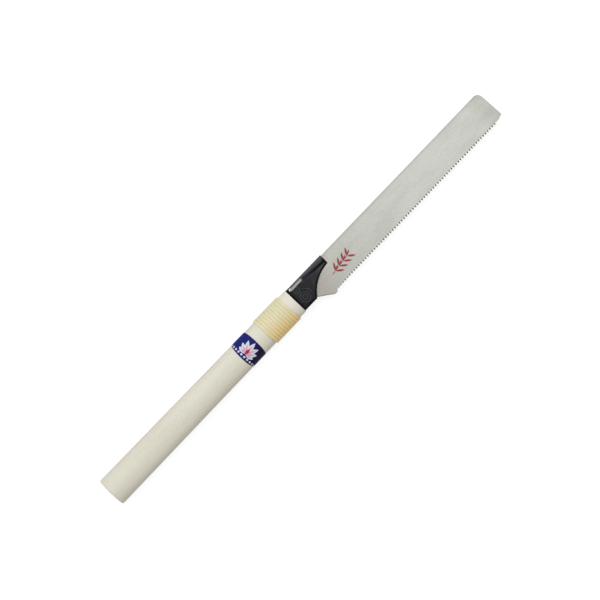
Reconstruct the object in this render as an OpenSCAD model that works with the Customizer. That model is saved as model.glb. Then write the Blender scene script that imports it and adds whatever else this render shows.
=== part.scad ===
// Bamboo saw with a straight wooden handle and a replaceable blade.
// The saw lies flat: +X runs to the blade's tip, +Y to its back, +Z up.
// The modules below are drawn from the handle's front face, on the handle's axis, in the blade's plane,
// and place() moves them so that the origin is under the middle of the whole saw. Millimetres.

/* [Handle] */
// Length of the wooden handle, butt to front face
handle_l = 277; // [220:1:320]
// Width of the handle at the butt
butt_w = 33.9; // [31:0.1:38]
// Thickness of the handle at the butt
butt_t = 28; // [24:0.1:30]
// Width of the handle at its front face
front_w = 30.9; // [30.5:0.1:34]
// Thickness of the handle at its front face
front_t = 24.6; // [20:0.1:26]
// Rounding of the butt's edge
butt_round = 1.4; // [0.6:0.1:3]
// Chamfer round the handle's front face
front_chamfer = 0.6; // [0.2:0.1:1.2]

/* [Rattan binding] */
// Number of turns of the strand
binding_turns = 10; // [6:1:16]
// Wood left bare between the turns seen on top and the front face
binding_front = 10; // [8:0.5:20]
// Advance of the strand in one turn
binding_pitch = 3.57; // [3:0.01:4.5]
// Gap between neighbouring turns
binding_gap = 0.5; // [0.42:0.01:1]
// Thickness of the strand
strand_t = 1.3; // [1:0.1:1.8]
// Clearance between the strand and the wood
strand_seat = 0.2; // [0.18:0.01:0.3]
// Inside radius of the bend where an end turns into the wood
tuck_bend = 0.6; // [0.4:0.1:1]
// Straight length of each tucked end
tuck_l = 3; // [2:0.5:4]

/* [Label] */
// Distance from the front face to the label's near edge
label_front = 58.7; // [52:0.5:100]
// Length of the label along the middle of the handle
label_l = 23.1; // [15:0.5:40]
// Amount by which each long edge is drawn in at the handle's sides
label_bow = 2.9; // [0:0.05:4]
// Angle that the label covers on each side of the top
label_wrap = 110; // [95:1:140]
// Thickness of the label
label_t = 0.2; // [0.15:0.05:0.4]
// Clearance between the label and the wood
label_seat = 0.06; // [0.05:0.01:0.1]

/* [Blade holder] */
// Length of the holder in front of the handle
holder_l = 52.2; // [48:0.1:60]
// Width of the holder at the handle
holder_w = 29.2; // [28:0.1:30]
// Thickness of the holder at the handle
holder_rear_t = 11.6; // [10:0.1:13]
// Thickness of the cheeks at the front of the arm
holder_front_t = 2.8; // [2.4:0.1:4]
// Rounding of the holder's lower long edges
holder_round = 3.5; // [2:0.1:4.5]
// Rounding of the holder's long edges at its back
back_round = 5.2; // [3.5:0.1:5.4]
// Length of the sloping strip along the holder's rear
rear_slope_l = 2; // [1:0.1:2.4]
// Depth of the sloping strip at the handle
rear_slope_d = 0.8; // [0.3:0.1:1.2]
// Diameter of the round rib along the holder's back
rib_d = 7.4; // [6.6:0.1:8]
// Chamfer on the rib's front end
rib_chamfer = 0.8; // [0.3:0.1:1.2]
// Radius of the hollow front edge
hollow_r = 44; // [42:0.5:47]
// Distance of the hollow edge's centre from the handle's front face
hollow_x = 53.4; // [52.6:0.1:54.6]
// Distance of the hollow edge's centre below the handle's axis
hollow_drop = 40.7; // [39.6:0.1:42]
// Length of the window in the cheeks
window_l = 17.9; // [12:0.1:20]
// Width of the window
window_w = 3; // [2.4:0.1:3.4]
// Distance from the handle to the window
window_x = 3; // [2.5:0.1:6]
// Distance from the holder's back edge to the window
window_edge = 1.6; // [1.5:0.1:2.4]
// Length of the tang inside the handle
tang_l = 85; // [60:1:120]
// Width of the tang at the handle's front face
tang_root_w = 14; // [10:0.5:17]
// Width of the tang's end
tang_end_w = 9; // [6:0.5:10]
// Thickness of the tang
tang_t = 5; // [3:0.5:7]
// Clearance of the tang in its pocket, on each side
tang_fit = 0.1; // [0.05:0.01:0.3]
// Diameter of the pin through the tang
tang_pin_d = 4; // [3:0.5:5]

/* [Hook] */
// Distance from the handle to the hook pin
hook_x = 8.9; // [8.2:0.1:10]
// Height of the hook pin above the handle's axis
hook_y = 6.4; // [6:0.1:7]
// Diameter of the hook pin
hook_d = 4; // [3:0.1:4.4]
// Radial clearance of the hook on its pin
hook_fit = 0.05; // [0.02:0.01:0.1]
// Angle that the blade swings out before it pulls off the pin
release_angle = 20; // [14:1:22]
// Clearance of the blade in its slot, on each side
slot_fit = 0.1; // [0.08:0.01:0.2]
// Clearance between the blade's edges and the ends of the slot
seat_fit = 0.1; // [0.05:0.01:0.2]
// Depth of the pins' ends below the surface
pin_sink = 0.3; // [0.25:0.05:0.6]
// Radial clearance of a pin or rivet pressed into its bore
press_fit = 0.02; // [0.01:0.01:0.05]

/* [Keeper spring] */
// Distance from the handle to the spring's rivet
rivet_x = 10.4; // [9:0.1:12]
// Distance of the spring's rivet below the handle's axis
rivet_drop = 4.5; // [3:0.1:5.5]
// Diameter of the rivet
rivet_d = 2.4; // [1.6:0.1:3]
// Diameter of the rivet's inner head
rivet_head_d = 4; // [3.4:0.1:5]
// Thickness of the rivet's inner head
rivet_head_t = 0.4; // [0.3:0.05:0.5]
// Width of the spring
spring_w = 5; // [4:0.1:6]
// Thickness of the spring leaf
spring_t = 0.4; // [0.3:0.05:0.5]
// Length of the spring in front of its rivet
spring_reach = 18; // [14:0.5:19]
// Length of the spring behind its rivet
spring_heel = 3; // [2.5:0.1:4]
// Angle between the spring and the handle's axis
spring_angle = 20; // [15:1:25]
// Depth of the spring's pocket in the cheek
pocket_depth = 1.3; // [1.2:0.05:1.6]
// Clearance round the spring in its pocket
pocket_fit = 0.3; // [0.2:0.05:0.5]
// Gap between the spring's bow and the blade
spring_gap = 0.05; // [0.03:0.01:0.1]

/* [Blade] */
// Thickness of the blade
blade_t = 0.55; // [0.5:0.05:0.9]
// Distance from the holder's back edge to the blade's back
back_inset = 1; // [0.9:0.05:1.6]
// Width of the blade from its back to the tooth points
blade_w = 37.1; // [34:0.1:40]
// Distance from the handle to the foremost point of the blade
blade_reach = 289.6; // [220:0.1:340]
// Lean of the blade's end edge
tip_lean = 2.6; // [0:0.1:6]
// Radius of the upper corner at the tip
tip_round = 6.3; // [3:0.1:10]
// Height of the bevelled nose above the tooth points
nose_h = 3.8; // [3:0.1:6]
// Length of the bevelled nose
nose_l = 6.6; // [4:0.1:9]
// Plain edge between the last tooth and the nose
nose_flat = 3.4; // [2:0.1:6]
// Distance from the handle to the first tooth
teeth_x = 39.6; // [37:0.1:60]
// Distance from the handle to the corner of the heel
heel_x = 34.2; // [32:0.1:36]
// Length of the flat at the bottom of the heel
heel_flat = 3.8; // [2:0.1:4]
// Depth of the heel below the tooth points
heel_drop = 1.4; // [0.8:0.1:2]
// Distance from the handle to where the heel meets the holder
heel_top_x = 18.7; // [18:0.1:20]
// Height of the heel's top below the handle's axis
heel_top_drop = 13.6; // [12:0.1:14.2]

/* [Teeth] */
// Distance from tooth to tooth
tooth_pitch = 1.7; // [1.2:0.05:2.4]
// Depth of the full teeth
tooth_depth = 1.75; // [1:0.05:2.2]
// Sideways set of the tooth points, left and right in turn
tooth_set = 0.12; // [0.05:0.01:0.25]
// Share of a tooth's length where its point lies, from the handle's side
tooth_lean = 0.32; // [0.2:0.01:0.5]
// Length of the shallow starting teeth at the heel
starter_l = 25; // [10:1:40]
// Depth of the first starting tooth as a share of a full tooth
starter_share = 0.45; // [0.3:0.05:0.9]

/* [Hidden] */
$fn = 64;

wood = [0.87, 0.85, 0.79];
wood_shade = [0.84, 0.82, 0.75];
rattan = [0.87, 0.81, 0.62];
paper_blue = [0.15, 0.22, 0.52];
black_paint = [0.2, 0.2, 0.22];
steel = [0.8, 0.8, 0.78];
bright_steel = [0.72, 0.72, 0.72];

// Length by which a cut runs past the face that it opens
over = 2;
// Number of sides of half of the handle's oval
oval_sides = 32;
// Rings of the strand in one turn and in each bend
turn_rings = 24;
bend_rings = 4;

// Points on an arc about c, with a radius and a first and a last angle
arc_step = 6;
function arc(c, r, first, last) =
    let (n = ceil(abs(last - first) / arc_step))
    [for (i = [0:n]) let (a = first + (last - first) * i / n) c + r * [cos(a), sin(a)]];

// Half width and half thickness of the handle, at a distance x from its front face
function half_w(x) = (front_w - (butt_w - front_w) * x / handle_l) / 2;
function half_t(x) = (front_t - (butt_t - front_t) * x / handle_l) / 2;

// Point on the oval of the handle, drawn in by inset, at an angle from +Y
function oval_point(x, angle, inset) =
    [x, (half_w(x) - inset) * cos(angle), (half_t(x) - inset) * sin(angle)];
// Outward direction of the handle's oval at an angle from +Y
function oval_normal(x, angle) =
    let (n = [0, half_t(x) * cos(angle), half_w(x) * sin(angle)]) n / norm(n);

// Places along the handle and the amount that the oval is drawn in there.
// The butt's rounding is a quarter circle, and the first ring is trimmed off flat.
butt_steps = 4;
handle_stations = [
    [-handle_l - over, butt_round + over],
    for (i = [0:butt_steps])
        let (a = 90 * i / butt_steps)
        [-handle_l + butt_round * (1 - cos(a)), butt_round * (1 - sin(a))],
    [-front_chamfer, 0],
    [0, front_chamfer]
];

// The strand's section: width along the handle, height outwards from the wood
strand_w = binding_pitch - binding_gap;
strand_section = [
    [-strand_w / 2, 0],
    [strand_w / 2, 0],
    [strand_w / 2, 0.45 * strand_t],
    [0.27 * strand_w, strand_t],
    [-0.27 * strand_w, strand_t],
    [-strand_w / 2, 0.45 * strand_t]
];

// The strand starts and ends under the handle, half a turn outside the turns seen on top
strand_end_x = -binding_front - strand_w / 2 + binding_pitch / 2;
strand_start_x = strand_end_x - binding_turns * binding_pitch;

// One ring of the strand, around a point on its inner face, with its outward direction
function strand_ring(p, n) = [for (s = strand_section) p + [s[0], 0, 0] + s[1] * n];
function wound_ring(i) =
    let (x = strand_start_x + binding_pitch * i / turn_rings)
    let (angle = -90 + 360 * i / turn_rings)
    let (n = oval_normal(x, angle))
    strand_ring(oval_point(x, angle, 0) + strand_seat * n, n);

// The centre of the bend of an end, straight above the lowest point of its ring
function tuck_centre(x) = [x, 0, -half_t(x) - strand_seat + tuck_bend];
function tuck_ring(x, side, angle, rise) =
    let (n = [0, side * sin(angle), -cos(angle)])
    strand_ring(tuck_centre(x) + tuck_bend * n + [0, 0, rise], n);
// The rings of one end, from the winding inwards
function tuck_rings(x, side) = [
    for (i = [1:bend_rings]) tuck_ring(x, side, 90 * i / bend_rings, 0),
    tuck_ring(x, side, 90, tuck_l)
];
function reversed(list) = [for (i = [len(list) - 1:-1:0]) list[i]];

strand_rings = concat(
    reversed(tuck_rings(strand_start_x, -1)),
    [for (i = [0:binding_turns * turn_rings]) wound_ring(i)],
    tuck_rings(strand_end_x, 1)
);
strand_points = [for (ring = strand_rings) for (p = ring) p];

// The least gap between one turn of the strand and the next, measured on points of its rings
strand_self_gap = min([
    for (i = [0:(binding_turns - 1) * turn_rings])
        for (j = [i + turn_rings - 2:min(i + turn_rings + 2, binding_turns * turn_rings)])
            for (p = wound_ring(i))
                min([for (q = wound_ring(j)) norm(p - q)])
]);
echo("least gap of the rattan strand to itself, mm", strand_self_gap);

// Sockets for the strand's ends: round holes in the lower half
socket_r = norm([strand_w, strand_t]) / 2 + strand_seat;
socket_y = tuck_bend + strand_t / 2;
function socket_top(x) = tuck_centre(x)[2] + tuck_l + strand_seat;

// The holder's edges and the blade's back
holder_back = holder_w / 2;
spine_y = holder_back - back_inset;
edge_y = spine_y - blade_w;
heel_y = edge_y - heel_drop;
rib_y = holder_back - rib_d / 2;
// Half thickness of the cheeks at a distance x from the handle
function cheek_t(x) = (holder_rear_t + (holder_front_t - holder_rear_t) * x / holder_l) / 2;
// The cheeks seen from the side
cheek_side = [
    [0, cheek_t(0) - rear_slope_d],
    [rear_slope_l, cheek_t(rear_slope_l)],
    [holder_l, cheek_t(holder_l)]
];
cheek_profile = concat(cheek_side, reversed([for (p = cheek_side) [p[0], -p[1]]]));

// The hook: the blade's rear end is round about the pin, so that it turns in its seat
hook = [hook_x, hook_y];
hook_r = hook_d / 2 + hook_fit;
tail_r = spine_y - hook_y;
heel_top = [heel_top_x, -heel_top_drop];
// Direction from the pin to where the heel's hidden edge leaves the round tail
to_heel = heel_top - hook;
heel_turn = atan2(to_heel[1], to_heel[0]) - acos(tail_r / norm(to_heel));

// The slot's rear wall stops the heel's edge when the blade has swung out
slot_t = blade_t + 2 * slot_fit;
wall_out = [cos(heel_turn - release_angle), sin(heel_turn - release_angle)];
wall_along = [-wall_out[1], wall_out[0]];
wall_point = hook + (tail_r + seat_fit) * wall_out;
slot_rear = hook_x - tail_r - seat_fit;
function wall_at_x(x) = wall_point + wall_along * (x - wall_point[0]) / wall_along[0];
function wall_at_y(y) = wall_point + wall_along * (y - wall_point[1]) / wall_along[1];

// The blade's end edge leans, and its upper corner is an arc that meets both edges smoothly
tip_low = [blade_reach, edge_y + nose_h];
function tip_edge_at(y) = [tip_low[0] - (y - tip_low[1]) * tan(tip_lean), y];
tip_centre_y = spine_y - tip_round;
tip_centre = [tip_edge_at(tip_centre_y)[0] - tip_round / cos(tip_lean), tip_centre_y];

// The row of teeth
nose_x = blade_reach - nose_l;
teeth_end = nose_x - nose_flat;
tooth_count = round((teeth_end - teeth_x) / tooth_pitch);
tooth_step = (teeth_end - teeth_x) / tooth_count;
// Depth of the gullet before tooth i
function gullet_depth(i) =
    tooth_depth * min(1, starter_share + (1 - starter_share) * i * tooth_step / starter_l);
function gullet_y(i) = edge_y + gullet_depth(i);
// The plate's edge behind the teeth, a little above the deepest gullets
root_land = 0.4;
root_y = edge_y + tooth_depth + root_land;

// The spring's leaf seen from the side, from its rivet: along the leaf, and height above the blade's middle
pocket_top = slot_t / 2 + pocket_depth;
bow_z = blade_t / 2 + spring_gap;
leaf_z = pocket_top - spring_t;
leaf_line = [
    [-spring_heel, leaf_z],
    [0.25 * spring_reach, leaf_z],
    [0.78 * spring_reach, bow_z],
    [0.86 * spring_reach, bow_z],
    [spring_reach, bow_z + 0.5 * spring_t]
];
leaf_section = concat(leaf_line, reversed([for (p = leaf_line) p + [0, spring_t]]));
rivet = [rivet_x, -rivet_drop];

tang_pin_x = -binding_front - (binding_turns / 2) * binding_pitch;

// The origin is under the middle of the saw's box
box_back = max(max([for (p = strand_points) p[1]]), butt_w / 2);
box_low = min(min([for (p = strand_points) p[2]]), -butt_t / 2);
origin = [(blade_reach - handle_l) / 2, (box_back + heel_y) / 2, box_low];
echo("hook axis in the part's frame, mm", [hook_x, hook_y, 0] - origin);
echo("butt face in the part's frame, mm", [-handle_l, 0, butt_t / 4] - origin);

module place() {
    translate(-origin) children();
}

// A bar's section about the origin, with corners of one radius on the left and another on the right
module bar_section(w, h, left, right) {
    translate([left - w / 2, -h / 2]) square([w - left - right, h]);
    translate([-w / 2, left - h / 2]) square([w / 2, h - 2 * left]);
    translate([0, right - h / 2]) square([w / 2, h - 2 * right]);
    for (side = [-1, 1]) {
        translate([left - w / 2, side * (h / 2 - left)]) circle(r = left);
        translate([w / 2 - right, side * (h / 2 - right)]) circle(r = right);
    }
}

// A slot with round ends, from x = 0 to its length
module round_slot(l, w) {
    translate([w / 2, -w / 2]) square([l - w, w]);
    for (x = [w / 2, l - w / 2])
        translate([x, 0]) circle(d = w);
}

// The upper half of the handle's oval, lofted through its stations
module half_loft() {
    ring = oval_sides + 1;
    last = len(handle_stations) - 1;
    points = [
        for (s = handle_stations)
            for (j = [0:oval_sides])
                oval_point(s[0], 180 * j / oval_sides, s[1])
    ];
    sides = [
        for (k = [0:last - 1])
            for (j = [0:oval_sides - 1])
                let (p = k * ring + j)
                each [[p, p + ring, p + ring + 1], [p, p + ring + 1, p + 1]]
    ];
    join = [
        for (k = [0:last - 1])
            let (p = k * ring)
            [p, p + oval_sides, p + ring + oval_sides, p + ring]
    ];
    rear = [for (j = [0:oval_sides]) j];
    front = [for (j = [oval_sides:-1:0]) last * ring + j];
    polyhedron(points, concat(sides, join, [rear, front]));
}

// The tang seen from above, grown by a clearance, reaching into the holder's solid rear
module tang_plan(grow, root) {
    polygon([
        [-tang_l - grow, -tang_end_w / 2 - grow],
        [0, -tang_root_w / 2 - grow],
        [root, -tang_root_w / 2 - grow],
        [root, tang_root_w / 2 + grow],
        [0, tang_root_w / 2 + grow],
        [-tang_l - grow, tang_end_w / 2 + grow]
    ]);
}

// One half of the handle, with its flat butt, half of the tang's pocket and the pin's hole
module handle_half() {
    difference() {
        half_loft();
        translate([-handle_l - 2 * over, -butt_w, -over])
            cube([2 * over, 2 * butt_w, butt_t]);
        translate([0, 0, -tang_t / 2 - tang_fit])
            linear_extrude(tang_t + 2 * tang_fit) tang_plan(tang_fit, over);
        translate([tang_pin_x, 0, -over])
            cylinder(d = tang_pin_d + 2 * press_fit, h = butt_t);
    }
}

module handle_upper_half() {
    color(wood) place() handle_half();
}

module handle_lower_half() {
    color(wood_shade) place() difference() {
        mirror([0, 0, 1]) handle_half();
        strand_socket(strand_start_x, -1);
        strand_socket(strand_end_x, 1);
    }
}

// The hole that takes one end of the strand, from below the handle
module strand_socket(x, side) {
    translate([x, side * socket_y, -butt_t])
        cylinder(r = socket_r, h = butt_t + socket_top(x));
}

module rattan_binding() {
    sides = len(strand_section);
    last = len(strand_rings) - 1;
    walls = [
        for (k = [0:last - 1])
            for (j = [0:sides - 1])
                let (p = k * sides + j)
                let (q = k * sides + (j + 1) % sides)
                each [[p, q, q + sides], [p, q + sides, p + sides]]
    ];
    start = [for (j = [1:sides - 2]) [0, j + 1, j]];
    end = [for (j = [1:sides - 2]) last * sides * [1, 1, 1] + [0, j, j + 1]];
    color(rattan) place() polyhedron(strand_points, concat(walls, start, end));
}

module handle_label() {
    steps = 40;
    angles = [for (i = [0:steps]) 90 - label_wrap + 2 * label_wrap * i / steps];
    middle = -label_front - label_l / 2;
    function edge_x(angle, end) =
        middle + end * (label_l / 2 - label_bow * pow((angle - 90) / 90, 2));
    function sheet_point(angle, end, lift) =
        let (x = edge_x(angle, end))
        oval_point(x, angle, 0) + (label_seat + lift) * oval_normal(x, angle);
    // Each angle has four points: inner rear, inner front, outer front, outer rear
    points = [
        for (a = angles)
            each [sheet_point(a, -1, 0), sheet_point(a, 1, 0),
                  sheet_point(a, 1, label_t), sheet_point(a, -1, label_t)]
    ];
    walls = [
        for (i = [0:steps - 1])
            for (j = [0:3])
                let (p = 4 * i + j)
                let (q = 4 * i + (j + 1) % 4)
                each [[p, p + 4, q + 4], [p, q + 4, q]]
    ];
    end = 4 * steps;
    caps = [[0, 1, 2], [0, 2, 3], [end, end + 2, end + 1], [end, end + 3, end + 2]];
    color(paper_blue) place() polyhedron(points, concat(walls, caps));
}

// The holder seen from above: a block whose front is cut hollow below the arm
module holder_plan() {
    difference() {
        translate([0, -holder_w / 2]) square([holder_l, holder_w]);
        translate([hollow_x, -hollow_drop]) circle(r = hollow_r, $fn = 180);
    }
}

// The space for the blade seen from above: closed at its back, with a leaning rear wall as the stop
module slot_plan() {
    far = holder_l + over;
    low = -holder_w / 2 - over;
    polygon([
        [slot_rear, spine_y + seat_fit],
        [far, spine_y + seat_fit],
        [far, low],
        wall_at_y(low),
        wall_at_x(slot_rear)
    ]);
}

module blade_holder() {
    color(black_paint) place() difference() {
        union() {
            // Cheeks: the plan, sloped at the rear and tapered towards the front, with round long edges
            intersection() {
                linear_extrude(holder_rear_t, center = true) holder_plan();
                rotate([90, 0, 0])
                    linear_extrude(holder_w + over, center = true) polygon(cheek_profile);
                rotate([90, 0, 90])
                    linear_extrude(holder_l)
                        bar_section(holder_w, holder_rear_t, holder_round, back_round);
            }
            // Round rib along the back, which stands out of the cheeks along the arm
            translate([0, rib_y, 0]) rotate([0, 90, 0]) {
                cylinder(d = rib_d, h = holder_l - rib_chamfer);
                translate([0, 0, holder_l - rib_chamfer])
                    cylinder(d1 = rib_d, d2 = rib_d - 2 * rib_chamfer, h = rib_chamfer);
            }
            // Tang
            linear_extrude(tang_t, center = true) tang_plan(0, slot_rear / 2);
        }
        linear_extrude(slot_t, center = true) slot_plan();
        translate([window_x, holder_back - window_edge - window_w / 2, -holder_rear_t])
            linear_extrude(2 * holder_rear_t) round_slot(window_l, window_w);
        translate([hook_x, hook_y, -holder_rear_t])
            cylinder(d = hook_d + 2 * press_fit, h = 2 * holder_rear_t);
        spring_place() {
            linear_extrude(pocket_top)
                translate([(spring_reach - spring_heel) / 2, 0])
                    square([spring_reach + spring_heel, spring_w] + 2 * pocket_fit * [1, 1],
                           center = true);
            cylinder(d = rivet_d + 2 * press_fit, h = holder_rear_t);
        }
        translate([tang_pin_x, 0, -tang_t])
            cylinder(d = tang_pin_d + 2 * press_fit, h = 2 * tang_t);
    }
}

// The keeper spring's own place: its rivet's axis, turned along the leaf
module spring_place() {
    translate(rivet) rotate(spring_angle) children();
}

module tang_pin() {
    half = half_t(tang_pin_x) - pin_sink;
    color(steel) place() translate([tang_pin_x, 0, -half])
        cylinder(d = tang_pin_d, h = 2 * half);
}

module hook_pin() {
    half = cheek_t(hook_x) - pin_sink;
    color(bright_steel) place() translate([hook_x, hook_y, -half])
        cylinder(d = hook_d, h = 2 * half);
}

module keeper_spring() {
    color(bright_steel) place() spring_place() difference() {
        translate([0, spring_w / 2, 0]) rotate([90, 0, 0])
            linear_extrude(spring_w) polygon(leaf_section);
        cylinder(d = rivet_d + 2 * press_fit, h = holder_rear_t);
    }
}

module spring_rivet() {
    top = cheek_t(rivet_x) - pin_sink;
    color(bright_steel) place() spring_place() {
        translate([0, 0, leaf_z - rivet_head_t]) cylinder(d = rivet_head_d, h = rivet_head_t);
        translate([0, 0, leaf_z - rivet_head_t / 2])
            cylinder(d = rivet_d, h = top - leaf_z + rivet_head_t / 2);
    }
}

// The blade's plate seen from above, without its teeth
module blade_plan() {
    difference() {
        polygon(concat(
            arc(tip_centre, tip_round, 90, tip_lean),
            [
                tip_low,
                [nose_x, gullet_y(tooth_count)],
                [teeth_end, gullet_y(tooth_count)],
                [teeth_end, root_y],
                [teeth_x, root_y],
                [teeth_x, gullet_y(0)],
                [heel_x + heel_flat, heel_y],
                [heel_x, heel_y],
                heel_top
            ],
            arc(hook, tail_r, heel_turn, -270)
        ));
        // The hook's notch, which opens backwards and down
        translate(hook) {
            circle(r = hook_r);
            rotate(180 + release_angle)
                translate([0, -hook_r]) square([2 * tail_r, 2 * hook_r]);
        }
    }
}

// The row of teeth: each is a point that leans to the handle, set left and right in turn,
// so that its edges are bevelled like filed ones
module tooth_row() {
    half = blade_t / 2;
    n = tooth_count;
    function gullet_x(i) = teeth_x + i * tooth_step;
    gullets = [
        for (i = [0:n])
            each [[gullet_x(i), gullet_y(i), -half], [gullet_x(i), gullet_y(i), half]]
    ];
    tips = [
        for (i = [0:n - 1])
            [gullet_x(i) + tooth_lean * tooth_step, edge_y, (i % 2 == 0 ? 1 : -1) * (half + tooth_set)]
    ];
    tops = [for (x = [teeth_x, teeth_end]) each [[x, root_y, -half], [x, root_y, half]]];
    tip = 2 * (n + 1);
    top = tip + n;
    flanks = [
        for (i = [0:n - 1])
            let (a = 2 * i)
            each [[a, a + 1, tip + i], [a + 1, a + 3, tip + i], [a + 3, a + 2, tip + i], [a + 2, a, tip + i]]
    ];
    upper = concat([top + 1, top + 3], [for (i = [n:-1:0]) 2 * i + 1]);
    lower = concat([top + 2, top], [for (i = [0:n]) 2 * i]);
    back = [top, top + 2, top + 3, top + 1];
    first = [0, top, top + 1, 1];
    final = [2 * n, 2 * n + 1, top + 3, top + 2];
    polyhedron(concat(gullets, tips, tops), concat(flanks, [upper, lower, back, first, final]));
}

module saw_blade() {
    color(steel) place() {
        linear_extrude(blade_t, center = true) blade_plan();
        tooth_row();
    }
}

handle_upper_half();
handle_lower_half();
rattan_binding();
handle_label();
blade_holder();
tang_pin();
hook_pin();
keeper_spring();
spring_rivet();
saw_blade();
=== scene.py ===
"""Dresses a bamboo saw around its fixed frame: a pale glued handle, a rattan binding, a printed paper label,
a black cast holder, a toothed steel blade and a plain studio. Lengths are metres."""

import math

import bmesh
import bpy
from bpy.props import FloatProperty, FloatVectorProperty, IntProperty, PointerProperty
from mathutils import Matrix, Vector


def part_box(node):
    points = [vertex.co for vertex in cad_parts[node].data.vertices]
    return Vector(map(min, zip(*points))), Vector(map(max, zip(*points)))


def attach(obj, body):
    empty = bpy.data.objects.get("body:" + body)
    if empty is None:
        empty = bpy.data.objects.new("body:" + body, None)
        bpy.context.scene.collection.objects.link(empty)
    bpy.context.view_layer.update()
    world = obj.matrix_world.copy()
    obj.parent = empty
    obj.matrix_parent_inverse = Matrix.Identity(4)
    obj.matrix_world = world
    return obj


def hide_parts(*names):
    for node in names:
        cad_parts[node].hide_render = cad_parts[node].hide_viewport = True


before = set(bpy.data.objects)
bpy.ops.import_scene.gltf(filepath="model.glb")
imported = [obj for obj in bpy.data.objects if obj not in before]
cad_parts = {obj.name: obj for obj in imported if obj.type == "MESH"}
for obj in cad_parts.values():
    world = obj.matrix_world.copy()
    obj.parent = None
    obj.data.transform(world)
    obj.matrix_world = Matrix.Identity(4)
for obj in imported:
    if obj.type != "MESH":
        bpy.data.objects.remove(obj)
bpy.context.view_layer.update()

bl_info = {
    "name": "Bamboo Saw",
    "version": (1, 0, 0),
    "blender": (4, 5, 0),
    "location": "3D View > Sidebar > Bamboo Saw",
    "description": "Models the pieces and finishes of a bamboo saw on its frame",
    "category": "Object",
}

MM = 0.001
# Length by which a cutting tool runs past the faces that it opens, a length below any that is drawn,
# and the distance within which vertices are merged
OVER = 3 * MM
TINY = MM / 100
MERGED = MM / 1000
FULL_TURN = 2 * math.pi
# Steps round the handle, one turn of rattan, its section and its tucked ends, and along and across the label
OVAL_STEPS = 160
TURN_STEPS = 96
STRIP_SIDES = 18
BEND_STEPS = 6
LABEL_STEPS = (24, 96)
# Unevenness of the rattan: shares of its thickness and width, and the waves of both in each turn
UNEVEN_THICKNESS = 0.05
UNEVEN_WIDTH = 0.005
THICKNESS_WAVES = (2.3, 0.37)
WIDTH_WAVES = 1.7
# Steps round pins, bores and raised rings, the fewest in part of a ring, and those of a ring's section,
# a long arc, an end of the window and the hook
ROUND_STEPS = 64
FEWEST_STEPS = 12
RING_SIDES = 20
ARC_STEPS = 36
WINDOW_STEPS = 16
HOOK_STEPS = 24
# The label's print, in millimetres and degrees: a fan of leaves with pink hearts, a bud and a row of dots
FAN_ROOT = (-5.4, -0.6)
FAN_STEP = 28
FAN_REACH = (15.2, 14.2, 12, 9.5)
LEAF_WIDTH = 4.5
HEART_SHARE = 0.7
HEART_WIDTH = 2
BUD_ROOT = (-6.2, -0.6)
BUD_SIZE = (7.4, 3.2)
DOT_ROW = -8.6
DOT_STEP = 3.8
DOT_RADIUS = 1.2
# The blade's print, in millimetres and degrees: a leaning stem with joints, and the leaves at each joint
SPRIG_ROOT = Vector((46.5, -9))
SPRIG_LEAN = 7
SPRIG_STALK = 5
SPRIG_JOINT = 6.5
SPRIG_JOINTS = 4
STEM_GAP = 0.6
STEM_WIDTH = 1
SPRIG_LEAVES = ((48, (9.6, 2.5)), (17, (7.4, 2)), (-46, (10, 2.6)))

# The pieces are drawn from the handle's front face, on its axis, in the blade's plane
handle_low, handle_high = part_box("handle_upper_half")
DATUM = Vector((handle_high.x, (handle_low.y + handle_high.y) / 2, handle_low.z))


def drawn_box(node):
    """Lowest and highest corner of a CAD node, seen from the drawing's own datum."""
    low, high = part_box(node)
    return low - DATUM, high - DATUM


def upright_pin(node):
    """Middle and radius of an upright round CAD node, seen from the datum."""
    low, high = drawn_box(node)
    return (low + high) / 2, (high.x - low.x) / 2


HOLDER_LOW, HOLDER_HIGH = drawn_box("blade_holder")
BLADE_LOW, BLADE_HIGH = drawn_box("saw_blade")
HOOK, HOOK_RADIUS = upright_pin("hook_pin")
RIVET, RIVET_RADIUS = upright_pin("spring_rivet")
TANG_PIN, TANG_PIN_RADIUS = upright_pin("tang_pin")


def srgb(red, green, blue):
    """A colour as a screen shows it, from 0 to 255, turned into linear light."""
    levels = [level / 255 for level in (red, green, blue)]
    return [level / 12.92 if level <= 0.04045 else ((level + 0.055) / 1.055) ** 2.4 for level in levels]


def length(name, description, millimetres, least=0):
    """A length that a user may change, with its default given in millimetres."""
    return FloatProperty(name=name, description=description, default=millimetres * MM,
                         min=least, unit="LENGTH", precision=5)


def angle(name, description, degrees):
    """An angle that a user may change, with its default given in degrees."""
    return FloatProperty(name=name, description=description, default=math.radians(degrees),
                         subtype="ANGLE", unit="ROTATION")


def share(name, description, part, least=0):
    """A share of a whole that a user may change."""
    return FloatProperty(name=name, description=description, default=part, min=least, max=1,
                         subtype="FACTOR")


def colour(name, description, red, green, blue):
    """A colour that a user may change, with its default as a screen shows it."""
    return FloatVectorProperty(name=name, description=description, default=srgb(red, green, blue),
                               min=0, max=1, size=3, subtype="COLOR")


def power(name, description, watts):
    """A lamp's power that a user may change."""
    return FloatProperty(name=name, description=description, default=watts, min=0, unit="POWER")


def position(name, description, *metres):
    """A place that a user may change, from the frame's origin."""
    return FloatVectorProperty(name=name, description=description, default=metres,
                               subtype="TRANSLATION", unit="LENGTH")


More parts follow.
